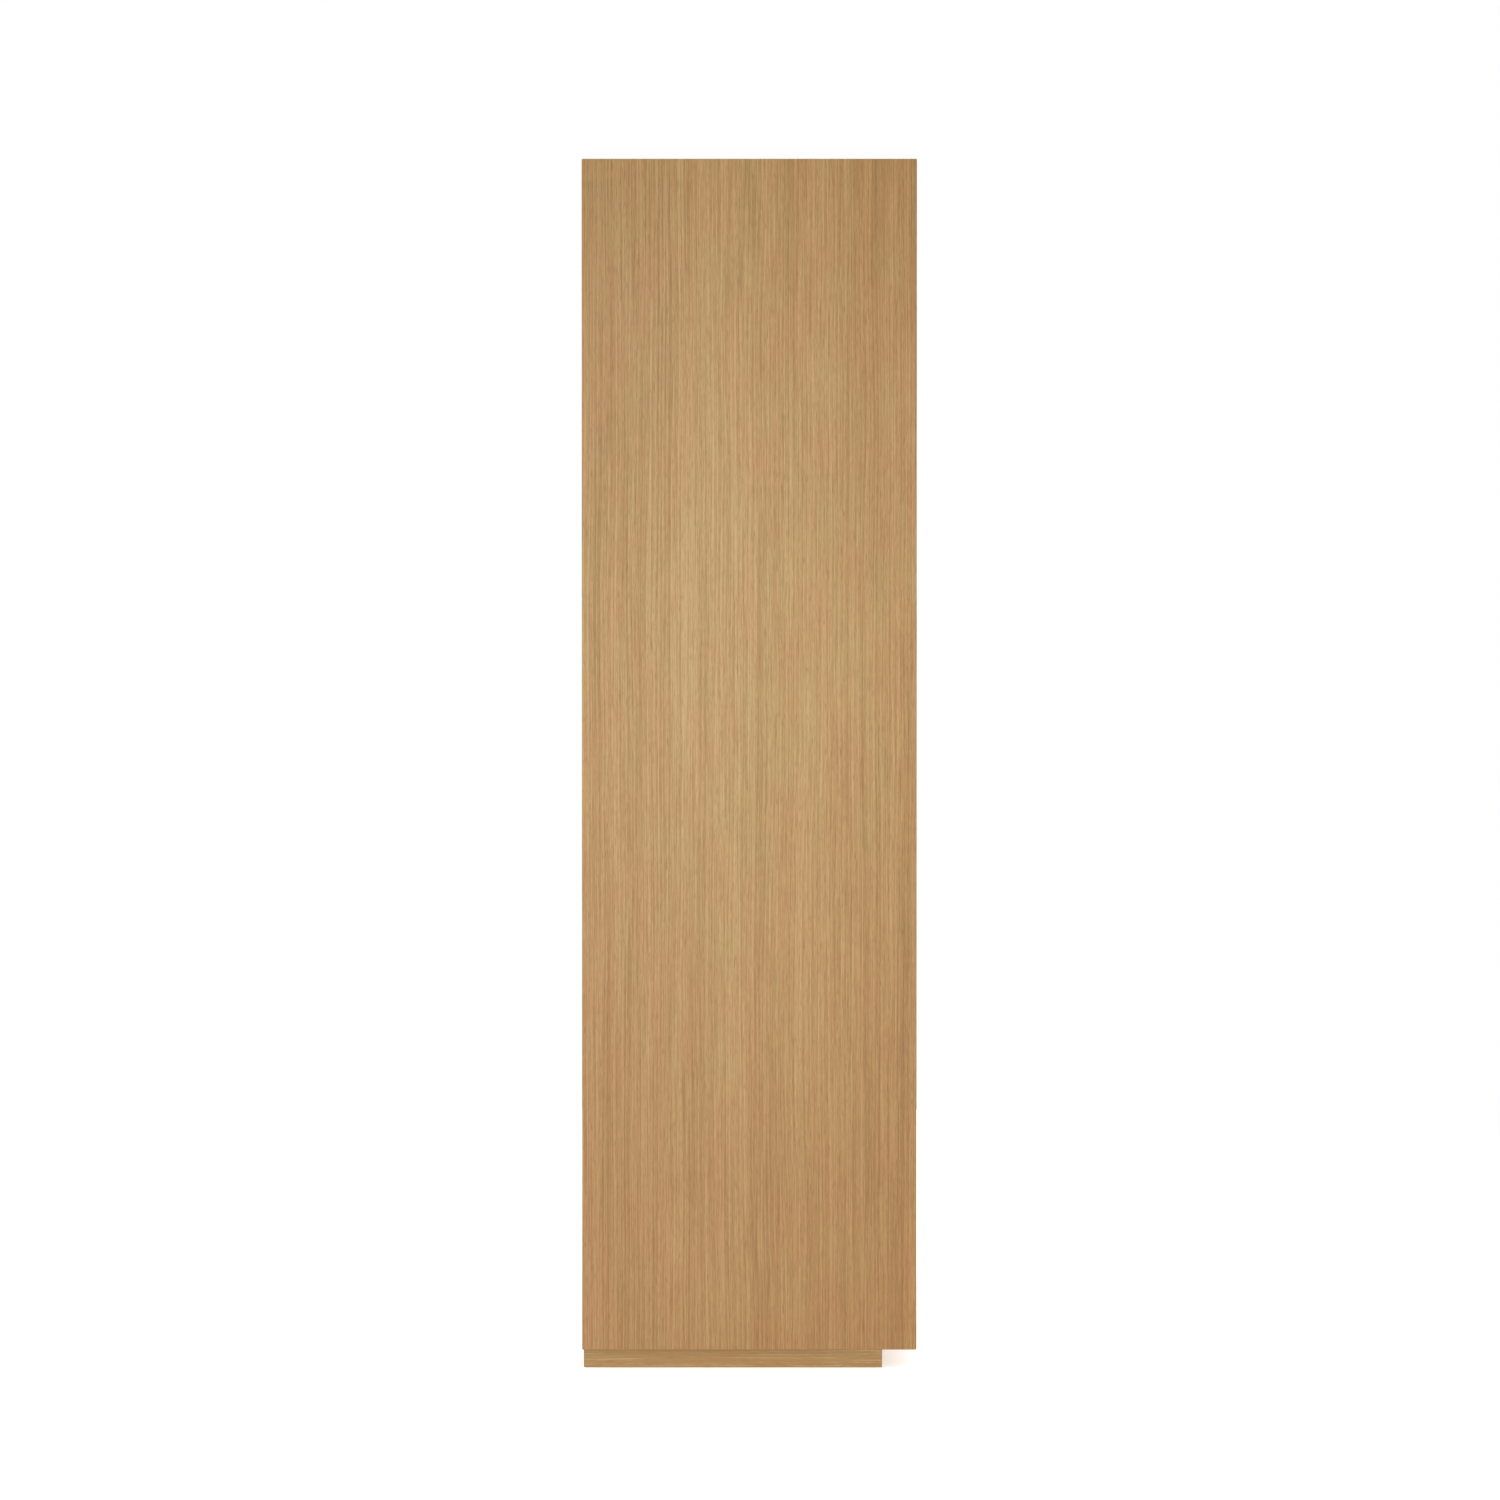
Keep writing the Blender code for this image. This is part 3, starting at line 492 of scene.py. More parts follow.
FINISHES = {
    "rift_oak_veneer_side": oak_side,
    "rift_oak_veneer_upright": oak_upright,
    "rift_oak_veneer_lengthways": oak_lengthways,
    "rift_oak_veneer_depthways": oak_depthways,
    "rift_oak_veneer_inside": oak_shelf,
    "rift_oak_veneer_back": oak_back,
    "oak_veneer_cut_edge": oak_arris,
    "birch_faced_plywood": birch_ply,
    "satin_nickel_plate": satin_nickel,
    "bright_zinc_plate": bright_zinc,
    "moulded_abs": moulded_abs,
    "moulded_nylon": black_nylon,
    "matt_white_paint": painted_floor,
}
UPRIGHT = ("rift_oak_veneer_upright", "oak_veneer_cut_edge", "rift_oak_veneer_lengthways")
SIDE = ("rift_oak_veneer_side", "oak_veneer_cut_edge", "rift_oak_veneer_lengthways")
LENGTHWAYS = ("rift_oak_veneer_lengthways", "oak_veneer_cut_edge", "rift_oak_veneer_lengthways")
DEPTHWAYS = ("rift_oak_veneer_depthways", "oak_veneer_cut_edge", "rift_oak_veneer_depthways")
SHELF = ("rift_oak_veneer_inside",) * 3


def finish(name):
    """The finish of that name, made the first time it is asked for."""
    return bpy.data.materials.get(name) or FINISHES[name](name)


def refinished(node_name, finish_name):
    """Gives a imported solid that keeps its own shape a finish."""
    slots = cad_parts[node_name].data.materials
    slots.clear()
    slots.append(finish(finish_name))


# ---------------------------------------------------------------- shaping


def shown(name, mesh, *finishes):
    obj = bpy.data.objects.new(name, mesh)
    bpy.context.scene.collection.objects.link(obj)
    if finishes:
        mesh.materials.clear()
    for each in finishes:
        mesh.materials.append(finish(each))
    return obj


def discard(obj):
    mesh = obj.data
    bpy.data.objects.remove(obj)
    if isinstance(mesh, bpy.types.Mesh) and not mesh.users:
        bpy.data.meshes.remove(mesh)


def settled(obj, *helpers):
    """Applies an object's modifiers, and throws the helpers away."""
    graph = bpy.context.evaluated_depsgraph_get()
    mesh = bpy.data.meshes.new_from_object(obj.evaluated_get(graph), depsgraph=graph)
    old = obj.data
    obj.modifiers.clear()
    obj.data = mesh
    mesh.name = obj.name
    bpy.data.meshes.remove(old)
    for helper in helpers:
        discard(helper)
    return obj


def fitted(obj, body, slot_name, *nodes):
    """Hands a finished piece over: attaches it to what carries it, and hides the solids it stands for. Its
    record slot is not used.
    """
    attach(obj, body)
    if nodes:
        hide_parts(*nodes)
    return obj


def to_mesh(name, shape):
    mesh = bpy.data.meshes.new(name)
    bmesh.ops.recalc_face_normals(shape, faces=shape.faces)
    shape.to_mesh(mesh)
    shape.free()
    return mesh


def crisp(mesh, degrees=35):
    mesh.shade_smooth()
    mesh.set_sharp_from_angle(angle=math.radians(degrees))
    return mesh


def block_mesh(name, low, high):
    shape = bmesh.new()
    bmesh.ops.create_cube(shape, size=1.0)
    low, high = Vector(low), Vector(high)
    bmesh.ops.scale(shape, vec=high - low, verts=shape.verts)
    bmesh.ops.translate(shape, vec=(low + high) / 2, verts=shape.verts)
    return to_mesh(name, shape)


def board(name, low, high, finishes, arris, mitre=None, end_axis=None):
    """A board between two corners, with rounded arrises in the cut-edge finish. A mitre is (face axis,
    inner sign, axis, amount): the inner face is shorter by that amount at both ends."""
    shape = bmesh.new()
    bmesh.ops.create_cube(shape, size=1.0)
    low, high = Vector(low), Vector(high)
    bmesh.ops.scale(shape, vec=high - low, verts=shape.verts)
    if mitre:
        face_axis, inner, along, amount = mitre
        for vert in shape.verts:
            if vert.co[face_axis] * inner > 0:
                vert.co[along] -= math.copysign(amount, vert.co[along])
    bmesh.ops.translate(shape, vec=(low + high) / 2, verts=shape.verts)
    edges = shape.edges[:]
    bmesh.ops.bevel(shape, geom=edges, offset=arris, segments=3, profile=0.5, affect="EDGES", material=1)
    shape.normal_update()
    for face in shape.faces:
        face.smooth = face.material_index == 1
        if end_axis is not None and abs(face.normal[end_axis]) > 0.9 and not face.smooth:
            face.material_index = 2
    return shown(name, to_mesh(name, shape), *finishes)


def prism_mesh(name, outline, low, high, axis="Z"):
    """An outline drawn out along an axis. Its points are the other two coordinates, in x, y, z order."""
    put = {
        "X": lambda u, v, w: (w, u, v),
        "Y": lambda u, v, w: (u, w, v),
        "Z": lambda u, v, w: (u, v, w),
    }[axis]
    shape = bmesh.new()
    rings = [[shape.verts.new(put(u, v, w)) for u, v in outline] for w in (low, high)]
    for ring in rings:
        shape.faces.new(ring)
    for i in range(len(outline)):
        j = (i + 1) % len(outline)
        shape.faces.new((rings[0][i], rings[0][j], rings[1][j], rings[1][i]))
    return to_mesh(name, shape)


def rim_rounded(mesh, width, axis="Z", segments=2):
    """Rounds the edges of a prism's two end faces."""
    index = "XYZ".index(axis)
    shape = bmesh.new()
    shape.from_mesh(mesh)
    shape.normal_update()
    ends = [face for face in shape.faces if abs(face.normal[index]) > 0.9]
    edges = list({edge for face in ends for edge in face.edges})
    bmesh.ops.bevel(shape, geom=edges, offset=width, segments=segments, profile=0.5, affect="EDGES")
    shape.to_mesh(mesh)
    shape.free()
    return crisp(mesh)


def arc(centre, radius, start, end, steps):
    """Points of an arc, by degrees."""
    for i in range(steps + 1):
        angle = math.radians(start + (end - start) * i / steps)
        yield (centre[0] + radius * math.cos(angle), centre[1] + radius * math.sin(angle))


def strip_outline(low, high, radius, steps=6):
    """A rectangle with round corners."""
    (x0, y0), (x1, y1) = low, high
    points = []
    for centre, start in (
        ((x1 - radius, y0 + radius), -90),
        ((x1 - radius, y1 - radius), 0),
        ((x0 + radius, y1 - radius), 90),
        ((x0 + radius, y0 + radius), 180),
    ):
        points += arc(centre, radius, start, start + 90, steps)
    return points


def turned_mesh(name, outline, steps, closed=False):
    """A turned shape about Z from (radius, height) points: axis to axis, or a closed ring."""
    shape = bmesh.new()
    rings = []
    for radius, height in outline:
        count = steps if radius else 1
        turns = [2 * math.pi * i / steps for i in range(count)]
        rings.append([shape.verts.new((radius * math.cos(a), radius * math.sin(a), height)) for a in turns])
    pairs = list(zip(rings, rings[1:]))
    if closed:
        pairs.append((rings[-1], rings[0]))
    for first, second in pairs:
        for i in range(steps):
            j = (i + 1) % steps
            corners = ((first, i), (first, j), (second, j), (second, i))
            around = [ring[at % len(ring)] for ring, at in corners]
            shape.faces.new(list(dict.fromkeys(around)))
    return crisp(to_mesh(name, shape))


def joined_mesh(name, parts):
    """Several meshes as one, each moved by its matrix. Each keeps its finish's place in the list."""
    shape = bmesh.new()
    for mesh, matrix in parts:
        moved = mesh.copy()
        moved.transform(matrix)
        shape.from_mesh(moved)
        bpy.data.meshes.remove(moved)
    made = bpy.data.meshes.new(name)
    shape.to_mesh(made)
    shape.free()
    return made


def cut(obj, *cutters):
    """Cuts shapes out of an object for good."""
    helpers = []
    for number, cutter in enumerate(cutters):
        helper = cutter if isinstance(cutter, bpy.types.Object) else shown(f"cutter_{number}", cutter)
        tool = obj.modifiers.new("cut", "BOOLEAN")
        tool.operation = "DIFFERENCE"
        tool.solver = "EXACT"
        tool.object = helper
        helpers.append(helper)
    return settled(obj, *helpers)


# ---------------------------------------------------------------- geometry nodes


def new_tree(name, sockets):
    """A node tree with a geometry in and out, and named inputs for its sizes."""
    tree = bpy.data.node_groups.new(name, "GeometryNodeTree")
    tree.interface.new_socket("Geometry", in_out="OUTPUT", socket_type="NodeSocketGeometry")
    tree.interface.new_socket("Geometry", in_out="INPUT", socket_type="NodeSocketGeometry")
    for label, kind in sockets:
        tree.interface.new_socket(label, in_out="INPUT", socket_type="NodeSocket" + kind)
    given = add(tree, "NodeGroupInput")
    return tree, given.outputs


def close_tree(tree, geometry, material):
    """Every tree ends in plain geometry in one finish."""
    plain = add(tree, "GeometryNodeRealizeInstances", {0: geometry}).outputs[0]
    done = add(tree, "GeometryNodeSetMaterial", {"Geometry": plain, "Material": material}).outputs[0]
    add(tree, "NodeGroupOutput", {0: done})
    return tree


def grown(name, mesh, tree, values):
    """Runs a tree on a mesh, and returns what it makes as a plain mesh."""
    source = shown(name + "_seed", mesh)
    modifier = source.modifiers.new("grow", "NODES")
    modifier.node_group = tree
    for item in tree.interface.items_tree:
        if item.item_type == "SOCKET" and item.in_out == "INPUT" and item.name in values:
            modifier[item.identifier] = values[item.name]
    graph = bpy.context.evaluated_depsgraph_get()
    made = bpy.data.meshes.new_from_object(source.evaluated_get(graph), depsgraph=graph)
    made.name = name
    source.modifiers.clear()
    discard(source)
    return made


def line_bore_tree():
    """A column of round holes through each point: the spare heights that a shelf can go to."""
    floats = [(label, "Float") for label in ("Radius", "Depth", "Pitch")]
    counts = [("Holes", "Int"), ("Sides", "Int")]
    tree, given = new_tree("line_boring", [*floats, *counts, ("Finish", "Material")])
    inputs = {"Vertices": given["Sides"], "Radius": given["Radius"], "Depth": given["Depth"]}
    bore = add(tree, "GeometryNodeMeshCylinder", inputs).outputs["Mesh"]
    inputs = {"Geometry": bore, "Rotation": Euler((0, math.pi / 2, 0))}
    lying = add(tree, "GeometryNodeTransform", inputs).outputs[0]
    step = add(tree, "ShaderNodeCombineXYZ", {"Z": given["Pitch"]}).outputs[0]
    column = add(tree, "GeometryNodeMeshLine", {"Count": given["Holes"], "Offset": step}).outputs[0]
    spare = add(tree, "ShaderNodeMath", {0: given["Holes"], 1: -1.0}, operation="ADD").outputs[0]
    half = add(tree, "ShaderNodeMath", {0: spare, 1: -0.5}, operation="MULTIPLY").outputs[0]
    drop = add(tree, "ShaderNodeMath", {0: half, 1: given["Pitch"]}, operation="MULTIPLY").outputs[0]
    lower = add(tree, "ShaderNodeCombineXYZ", {"Z": drop}).outputs[0]
    centred = add(tree, "GeometryNodeTransform", {"Geometry": column, "Translation": lower}).outputs[0]
    holes = add(tree, "GeometryNodeInstanceOnPoints", {"Points": centred, "Instance": lying}).outputs[0]
    group = add(tree, "GeometryNodeRealizeInstances", {0: holes}).outputs[0]
    inputs = {"Points": given["Geometry"], "Instance": group}
    placed = add(tree, "GeometryNodeInstanceOnPoints", inputs).outputs[0]
    return close_tree(tree, placed, given["Finish"])


def close_with_fixings(tree, given, points, euler):
    """Puts the given fixing on the points, turned and scaled, and closes the tree."""
    piece = add(tree, "GeometryNodeObjectInfo", {"Object": given["Fixing"]}).outputs["Geometry"]
    turn = add(tree, "FunctionNodeEulerToRotation", {0: euler}).outputs[0]
    size = add(tree, "ShaderNodeCombineXYZ", {axis: given["Size"] for axis in range(3)}).outputs[0]
    inputs = {"Points": points, "Instance": piece, "Rotation": turn, "Scale": size}
    placed = add(tree, "GeometryNodeInstanceOnPoints", inputs).outputs[0]
    return close_tree(tree, placed, given["Finish"])


def fixings_tree():
    """One fixing at each point, its head facing the way that the point says."""
    tree, given = new_tree("fixings", [("Fixing", "Object"), ("Size", "Float"), ("Finish", "Material")])
    inputs = {"Name": "aim"}
    aim = add(tree, "GeometryNodeInputNamedAttribute", inputs, data_type="FLOAT_VECTOR").outputs[0]
    return close_with_fixings(tree, given, given["Geometry"], aim)


def row_tree():
    """Fixings spaced evenly along each line."""
    sockets = [("Fixing", "Object"), ("Size", "Float"), ("Spacing", "Float"), ("Turn", "Vector")]
    tree, given = new_tree("row_of_fixings", [*sockets, ("Finish", "Material")])
    path = add(tree, "GeometryNodeMeshToCurve", {"Mesh": given["Geometry"]}).outputs[0]
    inputs = {"Curve": path, "Length": given["Spacing"]}
    points = add(tree, "GeometryNodeResampleCurve", inputs, mode="LENGTH").outputs[0]
    return close_with_fixings(tree, given, points, given["Turn"])


def thread_tree():
    """A screw thread: a small triangle drawn along a rising spiral."""
    floats = [(label, "Float") for label in ("Radius", "Pitch", "Length")]
    tree, given = new_tree("screw_thread", [*floats, ("Finish", "Material")])
    inputs = {0: given["Length"], 1: given["Pitch"]}
    turns = add(tree, "ShaderNodeMath", inputs, operation="DIVIDE").outputs[0]
    tooth = add(tree, "ShaderNodeMath", {0: given["Pitch"], 1: 0.5}, operation="MULTIPLY").outputs[0]
    inputs = {"Resolution": 14, "Rotations": turns, "Height": given["Length"]}
    inputs["Start Radius"] = inputs["End Radius"] = given["Radius"]
    spiral = add(tree, "GeometryNodeCurveSpiral", inputs).outputs[0]
    inputs = {"Resolution": 3, "Radius": tooth}
    profile = add(tree, "GeometryNodeCurvePrimitiveCircle", inputs, mode="RADIUS").outputs[0]
    inputs = {"Curve": spiral, "Profile Curve": profile, "Fill Caps": True}
    ridge = add(tree, "GeometryNodeCurveToMesh", inputs).outputs[0]
    joined = add(tree, "GeometryNodeJoinGeometry")
    tree.links.new(ridge, joined.inputs[0])
    tree.links.new(given["Geometry"], joined.inputs[0])
    return close_tree(tree, joined.outputs[0], given["Finish"])


TREES = {"line_boring": line_bore_tree, "fixings": fixings_tree, "row": row_tree, "thread": thread_tree}
MADE_TREES = {}


def tree_for(name):
    if name not in MADE_TREES:
        MADE_TREES[name] = TREES[name]()
    return MADE_TREES[name]


def screw_object():
    """A countersunk screw with a cross recess. Its head is one unit across, with its face at height 0."""
    outline = [(0.0, -0.012), (0.46, -0.012), (0.5, -0.05), (0.26, -0.30), (0.26, -0.52), (0.0, -0.52)]
    screw = shown("screw_pattern", turned_mesh("screw_pattern", outline, 20))
    arms = []
    for turn in (0.0, math.pi / 2):
        arm = block_mesh("recess_arm", (-0.30, -0.062, -0.26), (0.30, 0.062, 0.10))
        for vert in arm.vertices:
            if vert.co.z < 0:
                vert.co.x *= 0.55
        arm.transform(Matrix.Rotation(turn, 4, "Z"))
        arms.append(arm)
    return cut(screw, *arms)


def fixings(name, places, pattern, size, finish_name, body, slot_name):
    """Fixings as one piece of a body. Places are (position, outward direction) pairs."""
    mesh = bpy.data.meshes.new(name + "_places")
    mesh.from_pydata([tuple(position) for position, _ in places], [], [])
    aim = mesh.attributes.new("aim", "FLOAT_VECTOR", "POINT")
    for item, (_, direction) in zip(aim.data, places):
        item.vector = tuple(Vector(direction).to_track_quat("Z", "Y").to_euler())
    values = {"Fixing": pattern, "Size": size, "Finish": finish(finish_name)}
    made = grown(name, mesh, tree_for("fixings"), values)
    discard(pattern)
    return fitted(shown(name, made), body, slot_name)


def round_mesh(radius, low, high, x, y, steps=32):
    mesh = turned_mesh("round_cutter", [(0.0, low), (radius, low), (radius, high), (0.0, high)], steps)
    mesh.transform(Matrix.Translation((x, y, 0.0)))
    return mesh


def sink_mesh(wide, narrow, drop):
    """A countersunk hole's cutter: it opens at height 0 and runs down."""
    outline = [(0.0, 0.001), (wide, 0.001), (wide, 0.0), (narrow, -drop), (narrow, -0.004), (0.0, -0.004)]
    return turned_mesh("sink", outline, 24)


def leaf_outline(side, extra=0.0):
    """A hinge leaf's outline from above, with round ends."""
    far = SIDES[side] * (abs(PIVOT.x) - LEAF_LENGTH + LEAF_WIDTH)
    near = SIDES[side] * abs(PIVOT.x)
    low_x, high_x = sorted((far, near))
    radius = LEAF_WIDTH / 2 + extra
    points = list(arc((high_x, PIVOT.y), radius, -90, 90, 16))
    return points + list(arc((low_x, PIVOT.y), radius, 90, 270, 16))


def leaf_pocket(side, surface, into):
    """The pocket that a hinge leaf is sunk in."""
    low, high = sorted((surface - into * OVERRUN, surface + into * (LEAF_THICKNESS + JOINT_GAP)))
    return prism_mesh("leaf_pocket", leaf_outline(side, JOINT_GAP), low, high)


# ---------------------------------------------------------------- pieces


class PantryPiece:
    bl_options = {"REGISTER", "UNDO"}


class PANTRY_OT_case(PantryPiece, bpy.types.Operator):
    """Builds the mitred case: two sides, top, bottom and the fixed shelf"""

    bl_idname = "pantry.case"
    bl_label = "Case boards"

    def execute(self, context):
        size = sizes()
        play = Vector((0.0, JOINT_GAP, JOINT_GAP))
        mitre = CASE_BOARD - MITRE_CLOSED
        top_back = span("back_panel_upper")[1]
        groove = block_mesh("back_groove", BACK_LOW - play, top_back + play)
        for side, direction in SIDES.items():
            low, high = span(f"side_panel_{side}")
            panel = board(f"case_side_{side}", low, high, SIDE, size.arris, (0, -direction, 2, mitre))
            places = [
                Vector((direction * (INNER_HALF + (size.bore_depth - OVERRUN) / 2), pin.y, pin.z))
                for number in range(1, 5)
                for row in ("front", "rear")
                for pin in [middle(f"shelf_pin_{number}_{side}_{row}")]
            ]
            seed = bpy.data.meshes.new("bore_places")
            seed.from_pydata([tuple(place) for place in places], [], [])
            values = {
                "Radius": size.bore_radius,
                "Depth": size.bore_depth + OVERRUN,
                "Pitch": size.bore_pitch,
                "Holes": 2 * size.bores_each_way + 1,
                "Sides": size.bore_sides,
                "Finish": finish(UPRIGHT[1]),
            }
            bores = grown(f"bores_{side}", seed, tree_for("line_boring"), values)
            cut(panel, groove.copy(), bores)
            fitted(panel, "case", "oak_veneer", f"side_panel_{side}")
        low, high = span("top_panel")
        top = board("case_top", low, high, LENGTHWAYS, size.arris, (2, -1, 0, mitre))
        cut(top, groove.copy(), *(leaf_pocket(side, INNER_CEILING, 1) for side in SIDES))
        fitted(top, "case", "oak_veneer", "top_panel")
        low, high = span("bottom_panel")
        bottom = board("case_bottom", low, high, LENGTHWAYS, size.arris, (2, 1, 0, mitre))
        feet = [middle(f"levelling_foot_{corner}") for corner in CORNERS]
        ends = (low.z - OVERRUN, high.z + OVERRUN)
        bores = [round_mesh(size.foot_bore, *ends, foot.x, foot.y) for foot in feet]
        cut(bottom, groove, *bores, *(leaf_pocket(side, INNER_FLOOR, -1) for side in SIDES))
        fitted(bottom, "case", "oak_veneer", "bottom_panel")
        low, high = span("fixed_shelf")
        shelf = board("middle_shelf", low, high, SHELF, size.shelf_arris, end_axis=0)
        fitted(shelf, "case", "oak_inside", "fixed_shelf")
        self.cover_caps(feet)
        return {"FINISHED"}

    def cover_caps(self, feet):
        """Push-in caps over the feet's adjusting holes."""
        outline = [(0.0, 0.0014), (0.0045, 0.0014), (0.0078, 0.0011), (0.0086, 0.0006), (0.0088, 0.0)]
        outline += [(0.0062, 0.0), (0.0060, -0.003), (0.0, -0.003)]
        cap = turned_mesh("cap", outline, 32)
        parts = [(cap, Matrix.Translation((foot.x, foot.y, INNER_FLOOR))) for foot in feet]
        caps = shown("hole_caps", crisp(joined_mesh("hole_caps", parts)), "moulded_abs")
        fitted(caps, "case", "catch_housing")


class PANTRY_OT_back(PantryPiece, bpy.types.Operator):
    """Finishes the back panels, and builds their screws and the two anchor rails"""

    bl_idname = "pantry.back"
    bl_label = "Back and rails"

    def execute(self, context):
        size = sizes()
        for end in ENDS:
            refinished(f"back_panel_{end}", "rift_oak_veneer_back")
        for end in ("bottom", "top"):
            low, high = span(f"anchor_rail_{end}")
            rail = board(f"rail_{end}", low, high, ("birch_faced_plywood",) * 2, 0.0006)
            fitted(rail, "case", "birch_plywood", f"anchor_rail_{end}")
        seam = BACK_HIGH.z
        reach = INNER_HALF - 0.040
        mesh = bpy.data.meshes.new("panel_screw_lines")
        proud = 0.0007
        ends = [(x, BACK_HIGH.y + proud, seam + rise) for rise in (-0.006, 0.006) for x in (-reach, reach)]
        mesh.from_pydata(ends, [(0, 1), (2, 3)], [])
        pattern = screw_object()
        values = {
            "Fixing": pattern,
            "Size": size.panel_screw,
            "Spacing": size.panel_spacing,
            "Turn": tuple(Vector((0, 1, 0)).to_track_quat("Z", "Y").to_euler()),
            "Finish": finish("bright_zinc_plate"),
        }
        made = grown("back_panel_screws", mesh, tree_for("row"), values)
        discard(pattern)
        fitted(shown("back_panel_screws", made), "case", "zinc_steel")
        return {"FINISHED"}


class PANTRY_OT_plinth(PantryPiece, bpy.types.Operator):
    """Builds the mitred plinth under the case"""

    bl_idname = "pantry.plinth"
    bl_label = "Plinth"

    def execute(self, context):
        size = sizes()
        thick = span("plinth_left")[1].x - span("plinth_left")[0].x
        mitres = {
            "left": (DEPTHWAYS, (0, 1, 1, thick)),
            "right": (DEPTHWAYS, (0, -1, 1, thick)),
            "front": (LENGTHWAYS, (1, 1, 0, thick)),
            "rear": (LENGTHWAYS, (1, -1, 0, thick)),
        }
        for side, (finishes, mitre) in mitres.items():
            low, high = span(f"plinth_{side}")
            piece = board(f"plinth_board_{side}", low, high, finishes, size.arris, mitre)
            fitted(piece, "case", "oak_veneer", f"plinth_{side}")
        refinished("plinth_brace", "birch_faced_plywood")
        return {"FINISHED"}


class PANTRY_OT_shelves(PantryPiece, bpy.types.Operator):
    """Builds the loose shelves and the nickel pins that they rest on"""

    bl_idname = "pantry.shelves"
    bl_label = "Loose shelves and pins"

    def execute(self, context):
        size = sizes()
        for number in range(1, 5):
            low, high = span(f"loose_shelf_{number}")
            shelf = board(f"shelf_{number}", low, high, SHELF, size.shelf_arris, end_axis=0)
            fitted(shelf, "case", "oak_inside", f"loose_shelf_{number}")
        # The pin's own axis runs out of the side panel, from its buried end at 0.
        outline = [(0.0, 0.0), (0.0021, 0.0), (0.0025, 0.0005), (0.0025, 0.0106), (0.0036, 0.0108)]
        outline += [(0.0036, 0.0118), (0.0034, 0.0120), (0.0029, 0.0121), (0.0029, 0.0195)]
        outline += [(0.0026, 0.0202), (0.0019, 0.0205), (0.0, 0.0205)]
        nodes = []
        places = []
        for number in range(1, 5):
            for side, direction in SIDES.items():
                for row in ("front", "rear"):
                    node = f"shelf_pin_{number}_{side}_{row}"
                    low, high = span(node)
                    place = (low + high) / 2
                    place.x = low.x if direction < 0 else high.x
                    places.append((place, (-direction, 0, 0)))
                    nodes.append(node)
        pattern = shown("pin_pattern", turned_mesh("pin_pattern", outline, 20))
        pins = fixings("shelf_pins", places, pattern, 1.0, "satin_nickel_plate", "case", "satin_nickel")
        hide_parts(*nodes)
        return {"FINISHED"}


class PANTRY_OT_doors(PantryPiece, bpy.types.Operator):
    """Builds the two doors with their shared finger hole"""

    bl_idname = "pantry.doors"
    bl_label = "Doors"

    def execute(self, context):
        for side, direction in SIDES.items():
            self.build_door(side, direction)
        return {"FINISHED"}

    def build_door(self, side, direction):
        size = sizes()
        low, high = span(f"door_{side}")
        hinge, meeting = (low.x, high.x) if direction < 0 else (high.x, low.x)
        # The finger hole is centred on the gap, so a half of it starts inside the door's own edge.
        radius = size.pull_radius
        lean = math.degrees(math.asin(abs(meeting) / radius))
        upper = size.pull_height + size.pull_straight / 2
        lower = size.pull_height - size.pull_straight / 2
        notch = [(direction * x, z) for x, z in arc((0.0, upper), radius, 90 - lean, 0, 16)]
        notch += [(direction * x, z) for x, z in arc((0.0, lower), radius, 0, lean - 90, 16)]
        outline = [(meeting, high.z), *notch, (meeting, low.z), (hinge, low.z), (hinge, high.z)]
        door = shown(f"door_leaf_{side}", prism_mesh("door", outline, low.y, high.y, "Y"), *UPRIGHT)
        self.ease(door, low, high, meeting)
        pockets = [leaf_pocket(side, low.z, 1), leaf_pocket(side, high.z, -1)]
        pin_x = direction * abs(PIVOT.x)
        pockets.append(round_mesh(PIN_HOLE, low.z - OVERRUN, low.z + PIN_HOLE_DEPTH, pin_x, PIVOT.y))
        pockets.append(round_mesh(PIN_HOLE, high.z - PIN_HOLE_DEPTH, high.z + OVERRUN, pin_x, PIVOT.y))
        cut(door, *pockets)
        self.band(door)
        fitted(door, f"door_{side}", "oak_veneer", f"door_{side}")

    def ease(self, door, low, high, meeting):
        """Rounds the front edges fully along the stiles, and by less across the ends and at the back."""
        size = sizes()
        widest = 0.004
        back_edge = 0.0006
        mesh = door.data
        weights = mesh.attributes.new("bevel_weight_edge", "FLOAT", "EDGE")
        for edge in mesh.edges:
            start, end = (mesh.vertices[i].co for i in edge.vertices)
            if abs(start.y - end.y) > 0.001:
                continue
            front = start.y < (low.y + high.y) / 2
            in_pull = min(abs(start.x), abs(end.x)) > abs(meeting) + 1e-5 or (
                abs(abs(start.x) - abs(end.x)) > 1e-5 and max(abs(start.x), abs(end.x)) < 0.1
            )
            at_end = abs(start.z - end.z) < 1e-6 and abs(start.x - end.x) > 0.1
            hinge_edge = abs(start.x) > 0.4 and abs(end.x) > 0.4
            if in_pull and not hinge_edge and not at_end:
                width = size.pull_rim if front else size.pull_rim * 0.6
            elif at_end:
                width = 0.001 if front else back_edge
            else:
                width = size.door_edge if front else back_edge
            weights.data[edge.index].value = width / widest
        bevel = door.modifiers.new("eased_edges", "BEVEL")
        bevel.limit_method = "WEIGHT"
        bevel.width = widest
        bevel.segments = 4
        bevel.use_clamp_overlap = False
        bevel.loop_slide = True

    def band(self, door):
        """The ends carry an edge band whose grain runs across the door."""
        for face in door.data.polygons:
            if abs(face.normal.z) > 0.9:
                face.material_index = 2
            face.use_smooth = face.area < 0.0006


